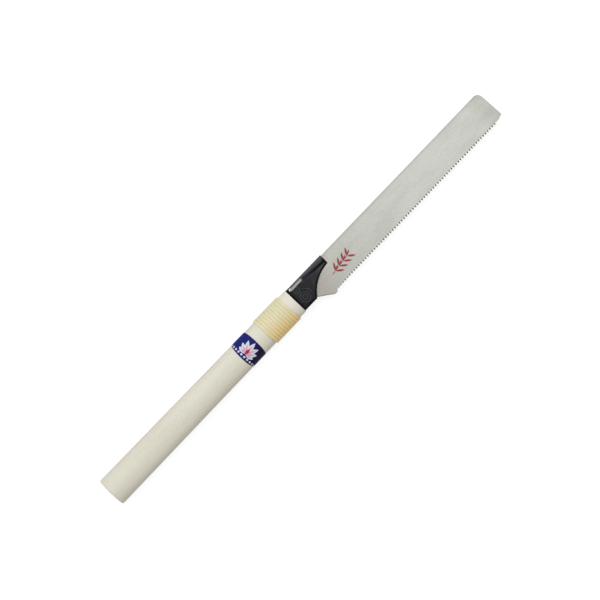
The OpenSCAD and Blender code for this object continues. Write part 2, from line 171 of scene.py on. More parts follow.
class HandleSettings(bpy.types.PropertyGroup):
    """Sizes of the wooden handle"""

    length: length("Length", "Butt to front face", (handle_high.x - handle_low.x) / MM)
    butt_width: length("Butt width", "Width at the butt", (handle_high.y - handle_low.y) / MM)
    butt_thickness: length("Butt thickness", "Thickness at the butt", 2 * (handle_high.z - handle_low.z) / MM)
    front_width: length("Front width", "Width at the front face", 30.9)
    front_thickness: length("Front thickness", "Thickness at the front face", 24.6)
    butt_round: length("Butt rounding", "Rounding of the butt's edge", 1.4)
    front_chamfer: length("Front chamfer", "Chamfer round the front face", 0.6)
    glue_groove: length("Glue groove", "Chamfer of each half along the glue line", 0.12)
    fit: length("Tang clearance", "Clearance round the tang", 0.1)
    growth: length("Growth", "Width of one year's growth in the wood", 2.3)
    pale: colour("Pale wood", "Colour of the early wood", 222, 219, 204)
    grain: colour("Grain", "Colour of the growth lines", 209, 201, 180)
    end_grain: colour("End grain", "Colour of the cut ends", 214, 205, 182)
    # Painted light: a lighter tone on the bare wood in front of the binding
    painted_light: colour("Painted light", "Colour of the painted light on the bare wood in front of the binding", 242, 238, 229)


class BindingSettings(bpy.types.PropertyGroup):
    """Sizes of the rattan binding"""

    turns: IntProperty(name="Turns", description="Turns of the strip", default=10, min=1)
    pitch: length("Pitch", "Advance of the strip in one turn", 3.57)
    bare_front: length("Bare front", "Bare wood between the turns and the front face", 10)
    tucked_width: length("Frame width", "Width of the strip that sets where its ends tuck in", 3.07)
    width: length("Width", "Width of the strip", 3.565)
    thickness: length("Thickness", "Thickness of the strip in its middle", 1.44)
    dome: share("Dome", "Roundness of the section: 1 is round, less is flatter", 0.12, least=0.1)
    lift: length("Lift", "Clearance between the strip and the wood", 0.05)
    tuck_bend: length("Tuck bend", "Inside radius where an end turns into the wood", 0.7)
    tuck_length: length("Tuck length", "Straight length of each tucked end", 3)
    socket: length("Socket", "Radius of the hole that takes an end", 1.95)
    straw: colour("Straw", "Colour of the pale strips", 219, 212, 174)
    # Gold and groove also give painted shade: the strips turn golden and their sides darker towards the lower
    # side
    gold: colour("Gold", "Colour of the riper strips, and of the painted shade towards the lower side", 240, 210, 138)
    groove: colour("Groove", "Colour of the fibres, and of the painted shade on the strip's sides towards the lower side", 164, 122, 60)


class LabelSettings(bpy.types.PropertyGroup):
    """Sizes and colours of the paper label"""

    front: length("Front", "Distance from the front face to the label", 58.7)
    length: length("Length", "Length along the middle of the handle", 23.1)
    bow: length("Bow", "Amount by which its edges draw in at the handle's sides", 2.9)
    wrap: angle("Wrap", "Angle covered on each side of the top", 110)
    thickness: length("Thickness", "Thickness of the paper", 0.2)
    lift: length("Lift", "Clearance between the paper and the wood", 0.05)
    blue: colour("Blue", "Printed ground", 14, 27, 106)
    navy: colour("Navy", "Printed ground on the shaded side", 7, 9, 36)
    white: colour("White", "Unprinted paper", 214, 211, 219)
    pink: colour("Pink", "Printed tint", 198, 164, 196)
    red: colour("Red", "Printed accent", 190, 32, 40)


class HolderSettings(bpy.types.PropertyGroup):
    """Sizes of the cast holder"""

    rear_thickness: length("Rear thickness", "Thickness of the cheeks at the handle, without the slope", 11.6)
    front_thickness: length("Front thickness", "Thickness of the cheeks at the front of the arm", 2.8)
    rear_slope: length("Rear slope", "Length of the sloping strip along the rear", 2)
    rear_drop: length("Rear drop", "Depth of the sloping strip at the handle", 0.8)
    edge_round: length("Edge rounding", "Rounding of the lower long edges", 3.5)
    back_round: length("Back rounding", "Rounding of the long edges at the back", 5.2)
    rib: length("Rib", "Diameter of the rib along the back", 7.4)
    rib_start: length("Rib start", "Distance from the handle to the rib's rear end", 1)
    shy: length("Shy", "How far the cheeks end short of the rib, and its back short of theirs", 0.03)
    rib_round: length("Rib rounding", "Rounding of the rib's front end", 0.9)
    hollow: length("Hollow", "Radius of the hollow front edge", 44)
    hollow_x: length("Hollow place", "Distance of the hollow's centre from the handle", 53.4)
    hollow_drop: length("Hollow drop", "Distance of the hollow's centre below the axis", 40.7)
    arm_round: length("Arm rounding", "Rounding of the corner at the front of the arm", 1.4)
    rim_width: length("Rim width", "Width of the sloping rim along the hollow edge", 1.1)
    rim_depth: length("Rim depth", "Depth of the sloping rim", 0.8)
    window_x: length("Window place", "Distance from the handle to the window", 3)
    window_length: length("Window length", "Length of the window", 17.9)
    window_width: length("Window width", "Width of the window", 3)
    window_edge: length("Window edge", "Distance from the back edge to the window", 1.6)
    slot: length("Slot", "Width of the slot for the blade", 0.75)
    slot_fit: length("Slot clearance", "Clearance round the blade's back and tail", 0.1)
    tang_root: length("Tang root", "Width of the tang at the handle's front face", 14)
    tang_end: length("Tang end", "Width of the tang's end", 9)
    tang_thickness: length("Tang thickness", "Thickness of the tang", 5)
    tang_join: length("Tang join", "Length by which the tang runs into the cheeks", 1.5)
    press: length("Press", "Amount by which the pins are pressed into the walls of their bores", 0.012)
    ring_width: length("Ring width", "Width of the raised rings", 0.9)
    ring_height: length("Ring height", "Height of the raised rings", 0.5)
    inner_ring: length("Inner ring", "Radius of the ring next to the rivet", 2.6)
    outer_ring: length("Outer ring", "Radius of the ring round that one", 5.4)
    pin_ring: length("Pin ring", "Radius of the ring round the hook's pin", 3.2)
    arc: length("Arc", "Radius of the arc outside the rings", 8.8)
    arc_start: angle("Arc start", "Angle at which the arc starts", -8)
    arc_sweep: angle("Arc sweep", "Angle that the arc covers", 74)
    pocket_length: length("Pocket length", "Length of the pocket for the keeper spring", 21.6)
    pocket_width: length("Pocket width", "Width of the pocket", 5.6)
    pocket_top: length("Pocket top", "Height of the pocket above the blade's middle", 1.675)
    pocket_ahead: length("Pocket place", "Distance from the rivet to the pocket's middle", 7.5)
    shank_share: share("Shank share", "Rivet's shank as a share of its head", 0.6, least=0.1)
    pocket_turn: angle("Pocket turn", "Angle between the pocket and the handle's axis", 20)
    black: colour("Black", "Satin paint", 51, 51, 55)
    # Painted highlight: lighter paint where light catches the rib, the rounded back edge and the raised
    # rings, also used lighter towards the arm's front
    rubbed: colour("Rubbed", "Lighter paint for the painted highlight on the rib, the back edge and the raised rings, and towards the arm's front", 83, 84, 87)
    # Painted shade: darker paint in the valley beside the rib, on the hollow's rim, along the lower edge and
    # at the rear
    soot: colour("Soot", "Darker paint for the painted shade in the corners and along the edges", 8, 8, 9)
    steel: colour("Pin steel", "Steel of the pins and the spring", 186, 186, 184)


class BladeSettings(bpy.types.PropertyGroup):
    """Sizes of the saw blade"""

    thickness: length("Thickness", "Thickness of the plate", 0.55)
    width: length("Width", "Back to tooth points", 37.1)
    tip_lean: angle("Tip lean", "Lean of the end edge", 2.6)
    tip_round: length("Tip rounding", "Radius of the upper corner", 6.3)
    nose_height: length("Nose height", "Height of the cut nose above the tooth points", 3.8)
    nose_length: length("Nose length", "Length of the cut nose", 6.6)
    nose_flat: length("Nose flat", "Plain edge between the last tooth and the nose", 3.4)
    teeth_x: length("First tooth", "Distance from the handle to the first tooth", 39.6)
    heel_x: length("Heel", "Distance from the handle to the heel's corner", 34.2)
    heel_flat: length("Heel flat", "Flat at the bottom of the heel", 3.8)
    heel_top_x: length("Heel top", "Distance from the handle to the heel's hidden top", 18.7)
    heel_top_drop: length("Heel top drop", "Distance of the heel's top below the axis", 13.6)
    hook_fit: length("Hook clearance", "Radial clearance of the hook on its pin", 0.05)
    release: angle("Release", "Angle that the blade swings before it comes off its pin", 20)
    pitch: length("Tooth pitch", "Distance from tooth to tooth", 1.7)
    depth: length("Tooth depth", "Depth of the full teeth", 1.75)
    lean: share("Tooth lean", "Share of a tooth's length where its point lies", 0.32)
    starter: length("Starter", "Length of the shallow starting teeth", 25)
    starter_share: share("Starter share", "Depth of the first tooth as a share of the full depth", 0.45)
    set_out: length("Tooth set", "Amount by which a point stands out beside the plate", 0.12)
    ground_width: length("Ground width", "Width of the ground slope along the back, end and heel", 0.2)
    ground_depth: length("Ground depth", "Depth of the ground slope", 0.14)
    steel: colour("Steel", "Satin ground steel", 163, 164, 159)
    warm: colour("Warm steel", "Darker, warmer steel towards the heel, the end and the back edge, and in the grinding lines", 137, 135, 127)
    # Dark gives painted dark reflections on sloped faces and on teeth in turn, as well as the matt grain and
    # the heel's strip
    dark: colour("Dark steel", "Painted dark reflection on sloped faces and on teeth in turn, a darker strip along the heel, and the matt grain", 46, 46, 47)
    # Bright gives the painted highlight on one tooth in two
    bright: colour("Bright", "Painted highlight on teeth in turn", 246, 246, 244)
    red: colour("Red", "Printed sprig", 138, 30, 42)


class StageSettings(bpy.types.PropertyGroup):
    """Camera and light"""

    height: length("Camera height", "Height of the camera above the blade", 3000)
    view_width: length("View width", "Width of the picture at the blade's height", 626)
    turn: angle("Camera turn", "Turn of the camera about the vertical", -46.15)
    aim_x: length("Aim X", "Place under the camera, from the handle's front face", 4.04, least=-1)
    aim_y: length("Aim Y", "Place under the camera, from the handle's axis", -2.8, least=-1)
    key_power: power("Key power", "Power of the key lamp", 17)
    key_size: length("Key size", "Width of the key lamp", 1700)
    key_place: position("Key place", "Place of the key lamp", 0.13, 0.78, 1.55)
    fill_power: power("Fill power", "Power of the low lamp beside the saw's back", 2.2)
    fill_size: length("Fill size", "Width of the fill lamp", 900)
    fill_place: position("Fill place", "Place of the fill lamp", -0.05, 1.4, 0.22)
    fill_tint: colour("Fill tint", "Colour of the fill lamp's light", 226, 240, 255)
    sky: share("Sky", "Strength of the light from all round", 0.56)
    floor: colour("Floor", "Pale floor", 160, 160, 160)
    floor_half: length("Floor size", "Half the width of the floor", 3000)
    floor_glow: share("Floor glow", "White added to the floor where it is seen", 0.79)


class SawSettings(bpy.types.PropertyGroup):
    """All settings of the saw"""

    handle: PointerProperty(name="Handle", description="Wooden handle", type=HandleSettings)
    binding: PointerProperty(name="Binding", description="Rattan binding", type=BindingSettings)
    label: PointerProperty(name="Label", description="Paper label", type=LabelSettings)
    holder: PointerProperty(name="Holder", description="Cast holder", type=HolderSettings)
    blade: PointerProperty(name="Blade", description="Saw blade", type=BladeSettings)
    stage: PointerProperty(name="Stage", description="Camera and light", type=StageSettings)


def settings():
    """The saw's settings in the open scene."""
    return bpy.context.scene.bamboo_saw


# Mesh helpers


def verts_of(geometry):
    """The vertices among the elements that an operator returns."""
    return [element for element in geometry if isinstance(element, bmesh.types.BMVert)]


def edges_of(geometry):
    """The edges among the elements that an operator returns."""
    return [element for element in geometry if isinstance(element, bmesh.types.BMEdge)]


def all_of(bm):
    """Every vertex, edge and face of a shape."""
    return bm.verts[:] + bm.edges[:] + bm.faces[:]


def move(bm, step, verts=None):
    """Moves a shape, or some of its vertices."""
    bmesh.ops.translate(bm, verts=bm.verts if verts is None else verts, vec=step)


def stretch(bm, factors, verts=None):
    """Scales a shape, or some of its vertices, about the datum."""
    bmesh.ops.scale(bm, verts=bm.verts if verts is None else verts, vec=factors)


def rotate(bm, axis, turn):
    """Turns a shape about an axis through the datum."""
    bmesh.ops.rotate(bm, verts=bm.verts, matrix=Matrix.Rotation(turn, 3, axis))


def face_outwards(bm):
    """Points the faces of a closed shape outwards."""
    bmesh.ops.recalc_face_normals(bm, faces=bm.faces[:])


def bevel(bm, edges, offset, segments):
    """Rounds edges."""
    bmesh.ops.bevel(bm, geom=edges, offset=offset, segments=segments, profile=0.5, affect="EDGES",
                    material=-1)


def polar(centre, radius, turn):
    """A point at a distance and an angle from a centre."""
    return centre.x + radius * math.cos(turn), centre.y + radius * math.sin(turn)


def heel_turn():
    """Angle about the hook at which the blade's straight heel runs into its round tail."""
    size = settings().blade
    to_heel = Vector((size.heel_top_x, -size.heel_top_drop)) - HOOK.xy
    return math.atan2(to_heel.y, to_heel.x) - math.acos((BLADE_HIGH.y - HOOK.y) / to_heel.length)


def slope_rim(bm, width, depth, where):
    """Slopes the rim of a plate's two faces, at the places that a test picks out."""
    for face in [face for face in bm.faces if abs(face.normal.z) > 0.9]:
        rim = bmesh.ops.inset_region(bm, faces=[face], thickness=width, use_even_offset=True)["faces"]
        for vert in {vert for strip in rim for vert in strip.verts} - set(face.verts):
            if where(vert.co):
                vert.co.z -= math.copysign(depth, vert.co.z)


class Pen:
    """Draws an outline in plan with one vertex: extruded along lines, spun through arcs and in rows."""

    def __init__(self, x, y):
        self.bm = bmesh.new()
        self.tip = bmesh.ops.create_vert(self.bm, co=(x, y, 0))["vert"][0]
        self.first = self.tip

    def line(self, *points):
        """Straight lines to one point after another."""
        for x, y in points:
            self.tip = bmesh.ops.extrude_vert_indiv(self.bm, verts=[self.tip])["verts"][0]
            self.tip.co = (x, y, 0)

    def arc(self, centre, sweep, steps):
        """An arc about a centre through an angle, anticlockwise where that is positive."""
        spun = bmesh.ops.spin(self.bm, geom=[self.tip], cent=(centre[0], centre[1], 0), axis=(0, 0, 1),
                              angle=sweep, steps=steps)
        self.tip = verts_of(spun["geom_last"])[0]

    def row(self, step, count):
        """A straight row of equal steps along X."""
        spun = bmesh.ops.spin(self.bm, geom=[self.tip], axis=(0, 0, 1), angle=0, steps=count,
                              dvec=(step, 0, 0))
        self.tip = verts_of(spun["geom_last"])[0]

    def solid(self, low, high):
        """Closes the outline, fills it and extrudes it from a low to a high level."""
        bmesh.ops.contextual_create(self.bm, geom=[self.tip, self.first])
        plan = bmesh.ops.contextual_create(self.bm, geom=self.bm.edges[:])["faces"]
        move(self.bm, (0, 0, low))
        raised = bmesh.ops.extrude_face_region(self.bm, geom=plan)["geom"]
        move(self.bm, (0, 0, high - low), verts_of(raised))
        face_outwards(self.bm)
        return self.bm


def round_bar(radius, low, high, centre=(0, 0)):
    """An upright round bar about a point in plan, between two levels."""
    bm = bmesh.new()
    bmesh.ops.create_cone(bm, cap_ends=True, segments=ROUND_STEPS, radius1=radius, radius2=radius,
                          depth=high - low)
    move(bm, (centre[0], centre[1], (low + high) / 2))
    return bm


def loose_object(name, bm):
    """An object that holds a bmesh's shape; the bmesh is used up."""
    mesh = bpy.data.meshes.new(name)
    bm.to_mesh(mesh)
    bm.free()
    made = bpy.data.objects.new(name, mesh)
    bpy.context.scene.collection.objects.link(made)
    return made


def combined(bm, operation, *tools):
    """The solid that Boolean modifiers make of a shape and one tool after another, which are used up."""
    for tool in tools:
        work = loose_object("work", bm)
        other = loose_object("tool", tool)
        modifier = work.modifiers.new("Combine", "BOOLEAN")
        modifier.operation = operation
        modifier.solver = "MANIFOLD"
        modifier.object = other
        graph = bpy.context.evaluated_depsgraph_get()
        mesh = bpy.data.meshes.new_from_object(work.evaluated_get(graph))
        bm = bmesh.new()
        bm.from_mesh(mesh)
        for used in (work.data, other.data, mesh):
            bpy.data.meshes.remove(used)
        if not bm.faces:
            raise RuntimeError("a Boolean step left nothing")
    return bm


def finished_piece(name, bm, material, body, nodes, crease=35):
    """Puts a drawn shape in its place as a piece that stands for its CAD nodes."""
    move(bm, DATUM)
    piece = loose_object(name, bm)
    piece.data.polygons.foreach_set("use_smooth", [True] * len(piece.data.polygons))
    piece.data.set_sharp_from_angle(angle=math.radians(crease))
    piece.data.materials.append(material)
    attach(piece, body)
    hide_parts(*nodes)


# Material helpers


class Finish:
    """A material in the making, with short calls that add nodes to its tree."""

    def __init__(self, name):
        self.material = bpy.data.materials.new(name)
        self.material.use_nodes = True
        self.tree = self.material.node_tree
        self.tree.nodes.clear()
        self.shader = self.node("BsdfPrincipled")
        output = self.node("OutputMaterial")
        self.tree.links.new(self.shader.outputs["BSDF"], output.inputs["Surface"])

    def put(self, socket, value):
        """Links a socket to another, or sets its constant."""
        if isinstance(value, bpy.types.NodeSocket):
            self.tree.links.new(value, socket)
        elif socket.type == "RGBA":
            socket.default_value = (*value[:3], 1)
        else:
            socket.default_value = value

    def node(self, kind, values=None, **options):
        """A node with its options and its sockets' values."""
        node = self.tree.nodes.new("ShaderNode" + kind)
        for key, value in options.items():
            setattr(node, key, value)
        for socket, value in (values or {}).items():
            self.put(node.inputs[socket], value)
        return node

    def surface(self, **values):
        """Sets sockets of the shader, named with underscores."""
        for name, value in values.items():
            self.put(self.shader.inputs[name.replace("_", " ")], value)

    def place(self, stretch=(1, 1, 1), shift=(0, 0, 0)):
        """Object coordinates in millimetres from the datum, divided along each axis by a stretch."""
        scale = [1 / (MM * part) for part in stretch]
        moved = [step - datum * part for step, datum, part in zip(shift, DATUM, scale)]
        coords = self.node("TexCoord").outputs["Object"]
        return self.node("Mapping", {"Vector": coords, "Location": moved, "Scale": scale}).outputs["Vector"]

    def stretched(self, vector, stretch, shift=(0, 0, 0)):
        """A vector divided along each axis by a stretch."""
        scale = [1 / part for part in stretch]
        return self.node("Mapping", {"Vector": vector, "Location": shift, "Scale": scale}).outputs["Vector"]

    def attribute(self, name):
        """A vector that the mesh carries."""
        return self.node("Attribute", attribute_name=name).outputs["Vector"]

    def split(self, vector):
        """The three parts of a vector."""
        return self.node("SeparateXYZ", {"Vector": vector}).outputs[:]

    def normal(self, kind="Normal"):
        """The three parts of the surface's direction."""
        return self.split(self.node("NewGeometry").outputs[kind])

    def flat(self, x, y):
        """A vector in plan."""
        return self.node("CombineXYZ", {"X": x, "Y": y}).outputs["Vector"]

    def measure(self, operation, *vectors):
        """A number worked out from vectors."""
        return self.node("VectorMath", dict(enumerate(vectors)), operation=operation).outputs["Value"]

    def noise(self, vector, size=1.0, detail=2.0, roughness=0.5):
        """Soft noise of a grain size, from 0 to 1."""
        values = {"Vector": vector, "Scale": 1 / size, "Detail": detail, "Roughness": roughness}
        return self.node("TexNoise", values).outputs["Fac"]

    def math(self, operation, *values):
        """One sum on numbers or sockets."""
        return self.node("Math", dict(enumerate(values)), operation=operation).outputs["Value"]

    def chain(self, operation, values):
        """Numbers or sockets taken together, one after another."""
        joined = values[0]
        for value in values[1:]:
            joined = self.math(operation, joined, value)
        return joined

    def total(self, *values):
        """The values added up."""
        return self.chain("ADD", values)

    def product(self, *values):
        """The values multiplied, as where masks overlap."""
        return self.chain("MULTIPLY", values)

    def highest(self, *values):
        """The largest of the values, as where masks are joined."""
        return self.chain("MAXIMUM", values)

    def ease(self, value, low, high, start=0.0, end=1.0):
        """Moves from start to end as a value goes from low to high."""
        values = {"Value": value, "From Min": low, "From Max": high, "To Min": start, "To Max": end}
        return self.node("MapRange", values, interpolation_type="SMOOTHSTEP").outputs["Result"]

    def mix(self, factor, first, second):
        """A colour between two, from the sockets that the mix node has for colours."""
        node = self.node("Mix", data_type="RGBA")
        self.put(node.inputs[0], factor)
        self.put(node.inputs[6], first)
        self.put(node.inputs[7], second)
        return node.outputs[2]

    def bump(self, height, depth):
        """Raises the surface by a height map, from 0 to 1, of a depth in millimetres."""
        node = self.node("Bump", {"Height": height, "Distance": depth * MM})
        self.put(self.shader.inputs["Normal"], node.outputs["Normal"])

    def laid(self, plane, root, turn):
        """Places along and across a mark that starts at a root, turned by an angle in degrees."""
        moved = self.node("VectorMath", {0: plane, 1: (*root, 0)}, operation="SUBTRACT").outputs["Vector"]
        turned = self.node("VectorRotate", {"Vector": moved, "Angle": math.radians(-turn)},
                           rotation_type="Z_AXIS").outputs["Vector"]
        return self.split(turned)[:2]

    def leaf(self, plane, root, turn, size, soft=0.12):
        """Mask of a leaf in a plane in millimetres: its root, its turn in degrees, its length and width."""
        along, across = self.laid(plane, root, turn)
        part = self.math("DIVIDE", along, size[0])
        swell = self.product(part, self.math("SUBTRACT", 1, part), 2 * size[1])
        return self.ease(self.math("SUBTRACT", swell, self.math("ABSOLUTE", across)), 0, soft)

    def bar(self, plane, root, turn, size, soft=0.12):
        """Mask of a straight bar, given in the same way as a leaf."""
        along, across = self.laid(plane, root, turn)
        past = self.math("ABSOLUTE", self.math("SUBTRACT", along, size[0] / 2))
        lengthwise = self.math("SUBTRACT", size[0] / 2, past)
        sideways = self.math("SUBTRACT", size[1] / 2, self.math("ABSOLUTE", across))
        return self.ease(self.math("MINIMUM", lengthwise, sideways), 0, soft)


# Handle


def handle_oval(x):
    """Half width and half thickness of the handle at a place along it."""
    size = settings().handle
    back = -x / size.length
    width = size.front_width + (size.butt_width - size.front_width) * back
    thickness = size.front_thickness + (size.butt_thickness - size.front_thickness) * back
    return width / 2, thickness / 2


def on_handle(x, turn, lift):
    """A point at an angle round the handle from its back, lifted off the wood."""
    wide, thick = handle_oval(x)
    outward = Vector((0, thick * math.cos(turn), wide * math.sin(turn))).normalized()
    return Vector((x, wide * math.cos(turn), thick * math.sin(turn))) + lift * outward


def binding_ends():
    """Places along the handle where the strip of rattan starts and ends, under the handle."""
    size = settings().binding
    last = -size.bare_front - size.tucked_width / 2 + size.pitch / 2
    return last - size.turns * size.pitch, last


def tang_solid(grow, root):
    """The tang, grown by a clearance, from its end in the handle to a place in front of the front face."""
    size = settings().holder
    end = HOLDER_LOW.x - grow
    half_end, half_root, half_thick = (width / 2 + grow for width in
                                       (size.tang_end, size.tang_root, size.tang_thickness))
    pen = Pen(end, -half_end)
    pen.line((0, -half_root), (root, -half_root), (root, half_root), (0, half_root), (end, half_end))
    return pen.solid(-half_thick, half_thick)


def rattan_sockets(deep):
    """Cutters of the holes that take the ends of the rattan, from a depth under the handle's axis."""
    size = settings().binding
    across = size.tuck_bend + size.thickness / 2
    sockets = []
    for x, turn in zip(binding_ends(), (-1, 1)):
        top = size.tuck_bend + size.tuck_length + 2 * size.lift - handle_oval(x)[1]
        sockets.append(round_bar(size.socket, -deep, top, (x, turn * across)))
    return sockets


def handle_half(side):
    """One half of the handle: a tapered oval cut at the glue line, with its pocket, pin hole and sockets."""
    size = settings().handle
    wide, thick = handle_oval(-size.length)
    front_wide, front_thick = handle_oval(0)
    middle = -size.length / 2
    deep = thick + OVER
    bm = bmesh.new()
    bmesh.ops.create_circle(bm, cap_ends=True, segments=OVAL_STEPS, radius=1)
    rotate(bm, "Y", math.radians(90))
    stretch(bm, (1, wide, thick))
    move(bm, (-size.length, 0, 0))
    front = verts_of(bmesh.ops.extrude_face_region(bm, geom=bm.faces[:])["geom"])
    move(bm, (size.length, 0, 0), front)
    stretch(bm, (1, front_wide / wide, front_thick / thick), front)
    face_outwards(bm)
    rims = [e for e in bm.edges if (e.verts[0].co.x < middle) == (e.verts[1].co.x < middle)]
    bevel(bm, [e for e in rims if e.verts[0].co.x < middle], size.butt_round, segments=6)
    bevel(bm, [e for e in rims if e.is_valid and e.verts[0].co.x > middle], size.front_chamfer, segments=3)
    bmesh.ops.bisect_plane(bm, geom=all_of(bm), plane_co=(0, 0, 0), plane_no=(0, 0, side), clear_inner=True)
    join = bmesh.ops.holes_fill(bm, edges=[e for e in bm.edges if e.is_boundary], sides=0)["faces"]
    seam = [e for face in join for e in face.edges
            if abs(e.verts[0].co.x - e.verts[1].co.x) > size.length / 2]
    bevel(bm, seam, size.glue_groove, segments=1)
    pin = round_bar(TANG_PIN_RADIUS - settings().holder.press, -deep, deep, TANG_PIN)
    sockets = rattan_sockets(deep) if side < 0 else []
    return combined(bm, "DIFFERENCE", tang_solid(size.fit, OVER), pin, *sockets)


def wood_finish(name, seed):
    """Pale straight-grained softwood, sanded fine: growth lines, fibres, flecks, pores, end grain, and
    painted light on the bare wood in front of the binding.
    """
    tone = settings().handle
    wood = Finish(name)
    place = wood.place(shift=(0, seed, 0))
    along, across, deep = wood.split(place)
    wander = wood.noise(wood.stretched(place, (90, 9, 9)), detail=3)
    fibre = wood.noise(wood.stretched(place, (38, 0.35, 0.35)), detail=4, roughness=0.65)
    pore = wood.noise(wood.stretched(place, (5, 0.22, 0.22), shift=(seed, 0, 0)), detail=1)
    cloud = wood.noise(wood.stretched(place, (70, 16, 16), shift=(0, 0, seed)), detail=2)
    fleck = wood.noise(wood.stretched(place, (2.4, 1.5, 1.5)), detail=1)
    pith = wood.total(across, wood.product(deep, 0.22))
    years = wood.total(wood.math("DIVIDE", pith, tone.growth / MM), wood.product(wander, 3.2))
    ring = wood.math("FRACT", years)
    late = wood.product(wood.ease(ring, 0.45, 0.93), wood.ease(ring, 0.99, 0.93))
    tint = wood.total(wood.product(late, 0.26), wood.product(fibre, 0.34),
                      wood.ease(fleck, 0.3, 0.7, -0.06, 0.2),
                      wood.product(wood.math("SUBTRACT", cloud, 0.5), 0.7),
                      wood.ease(pore, 0.66, 0.76, 0, 0.3))
    base = wood.mix(wood.ease(tint, 0.05, 1.05), tone.pale, tone.grain)
    bare = -settings().binding.bare_front / MM
    # Painted light: the bare wood in front of the binding is mixed lighter
    base = wood.mix(wood.ease(along, bare - 1, bare + 1, 0, 0.3), base, tone.painted_light)
    end = wood.ease(wood.math("ABSOLUTE", wood.normal()[0]), 0.6, 0.95)
    base = wood.mix(wood.product(end, 0.65), base, tone.end_grain)
    wood.surface(Base_Color=base, Roughness=wood.ease(fibre, 0.2, 0.8, 0.56, 0.72), Specular_IOR_Level=0.32)
    pits = wood.product(wood.ease(pore, 0.66, 0.76), 0.6)
    wood.bump(wood.math("SUBTRACT", fibre, pits), 0.03)
    return wood.material


class SAW_OT_add_handle(bpy.types.Operator):
    """Adds the two glued halves of the wooden handle"""

    bl_idname = "bamboo_saw.add_handle"
    bl_label = "Handle"

    def execute(self, context):
        for name, side, seed in (("upper", 1, 3.0), ("lower", -1, 41.0)):
            finish = wood_finish("sanded_softwood_" + name, seed)
            finished_piece("wooden_half_" + name, handle_half(side), finish, "handle",
                           [f"handle_{name}_half"], crease=40)
        return {"FINISHED"}


# Rattan binding


def unevenness(turn):
    """Shares of its full thickness and width that the strip has after a turn in radians."""
    short, long = THICKNESS_WAVES
    thickness = 1 + UNEVEN_THICKNESS * math.sin(short * turn) * math.sin(long * turn + 1)
    width = 1 - UNEVEN_WIDTH * (1 + math.sin(WIDTH_WAVES * turn))
    return min(1, thickness), width


def rattan_strip():
    """One strip of split rattan: a low domed section spun into a helix on the oval, its ends tucked in."""
    size = settings().binding
    start, end = binding_ends()
    spool = handle_oval(start)[0]
    bm = bmesh.new()
    strand = bm.verts.layers.float_vector.new("strand")
    bmesh.ops.create_circle(bm, segments=STRIP_SIDES, radius=1)
    for vert in bm.verts:
        across, height = vert.co.x, max(0.0, vert.co.y) ** size.dome
        vert[strand] = (0, across, height)
        vert.co = (start + across * size.width / 2, 0, -spool - height * size.thickness)
    bmesh.ops.spin(bm, geom=bm.verts[:] + bm.edges[:], axis=(1, 0, 0), angle=FULL_TURN * size.turns,
                   steps=size.turns * TURN_STEPS, dvec=(size.pitch / TURN_STEPS, 0, 0))
    bm.verts.index_update()
    for vert in bm.verts:
        ring = vert.index // STRIP_SIDES
        turn = FULL_TURN * ring / TURN_STEPS
        centre = start + size.pitch * ring / TURN_STEPS
        thick, wide = unevenness(turn)
        height = math.hypot(vert.co.y, vert.co.z) - spool
        offset = (vert.co.x - centre) * wide
        vert[strand] = (turn * spool / MM, vert[strand].y, vert[strand].z)
        vert.co = on_handle(centre, turn - math.pi / 2, size.lift + height * thick)
        vert.co.x += offset
    rings = bm.verts[:]
    for x, turn, ring in ((start, -1, rings[:STRIP_SIDES]), (end, 1, rings[-STRIP_SIDES:])):
        tuck_end(bm, x, turn, ring)
    face_outwards(bm)
    return bm


def tuck_end(bm, x, turn, ring):
    """Bends one end of the strip up into the wood and closes it."""
    size = settings().binding
    inside = set(ring)
    loop = {edge for vert in ring for edge in vert.link_edges if set(edge.verts) <= inside}
    centre = (x, 0, -handle_oval(x)[1] - size.lift + size.tuck_bend)
    bent = bmesh.ops.spin(bm, geom=[*ring, *loop], cent=centre, axis=(1, 0, 0),
                          angle=turn * math.radians(90), steps=BEND_STEPS)["geom_last"]
    sunk = bmesh.ops.extrude_edge_only(bm, edges=edges_of(bent))["geom"]
    move(bm, (0, 0, size.tuck_length), verts_of(sunk))
    rim = set(verts_of(sunk))
    bmesh.ops.contextual_create(bm, geom=[edge for edge in edges_of(sunk) if set(edge.verts) <= rim])


def rattan_finish():
    """Split rattan: smooth straw-coloured skin with long fibres and riper stretches, and painted shade that
    turns the strips golden and darkens their sides towards the lower side.
    """
    tone = settings().binding
    rattan = Finish("split_rattan")
    strand = rattan.attribute("strand")
    across = rattan.split(strand)[1]
    lower = rattan.split(rattan.place())[1]
    fibre = rattan.noise(rattan.stretched(strand, (14, 0.07, 1)), detail=4, roughness=0.6)
    ripe = rattan.noise(rattan.stretched(strand, (30, 3, 1)), detail=2)
    # Random riper stretches, and painted shade: more golden towards the lower side
    ripeness_and_shade = rattan.total(rattan.ease(ripe, 0.35, 0.7, -0.12, 0.3), rattan.ease(lower, 4, -15, 0, 0.85))
    # Painted shade: darker strip sides, only towards the lower side
    sides = rattan.product(rattan.ease(rattan.math("ABSOLUTE", across), 0.78, 1, 0, 0.8),
                           rattan.ease(lower, 2, -13))
    streaks = rattan.ease(fibre, 0.52, 0.78, 0, 0.22)
    base = rattan.mix(ripeness_and_shade, tone.straw, tone.gold)
    base = rattan.mix(rattan.highest(sides, streaks), base, tone.groove)
    rattan.surface(Base_Color=base, Roughness=rattan.ease(fibre, 0.3, 0.7, 0.34, 0.5),
                   Specular_IOR_Level=0.45)
    rattan.bump(rattan.math("SUBTRACT", 1, fibre), 0.06)
    return rattan.material


class SAW_OT_add_binding(bpy.types.Operator):
    """Adds the wound strip of rattan"""

    bl_idname = "bamboo_saw.add_binding"
    bl_label = "Rattan binding"

    def execute(self, context):
        finished_piece("wound_rattan", rattan_strip(), rattan_finish(), "handle",
                       ["rattan_binding"], crease=60)
        return {"FINISHED"}


# Label


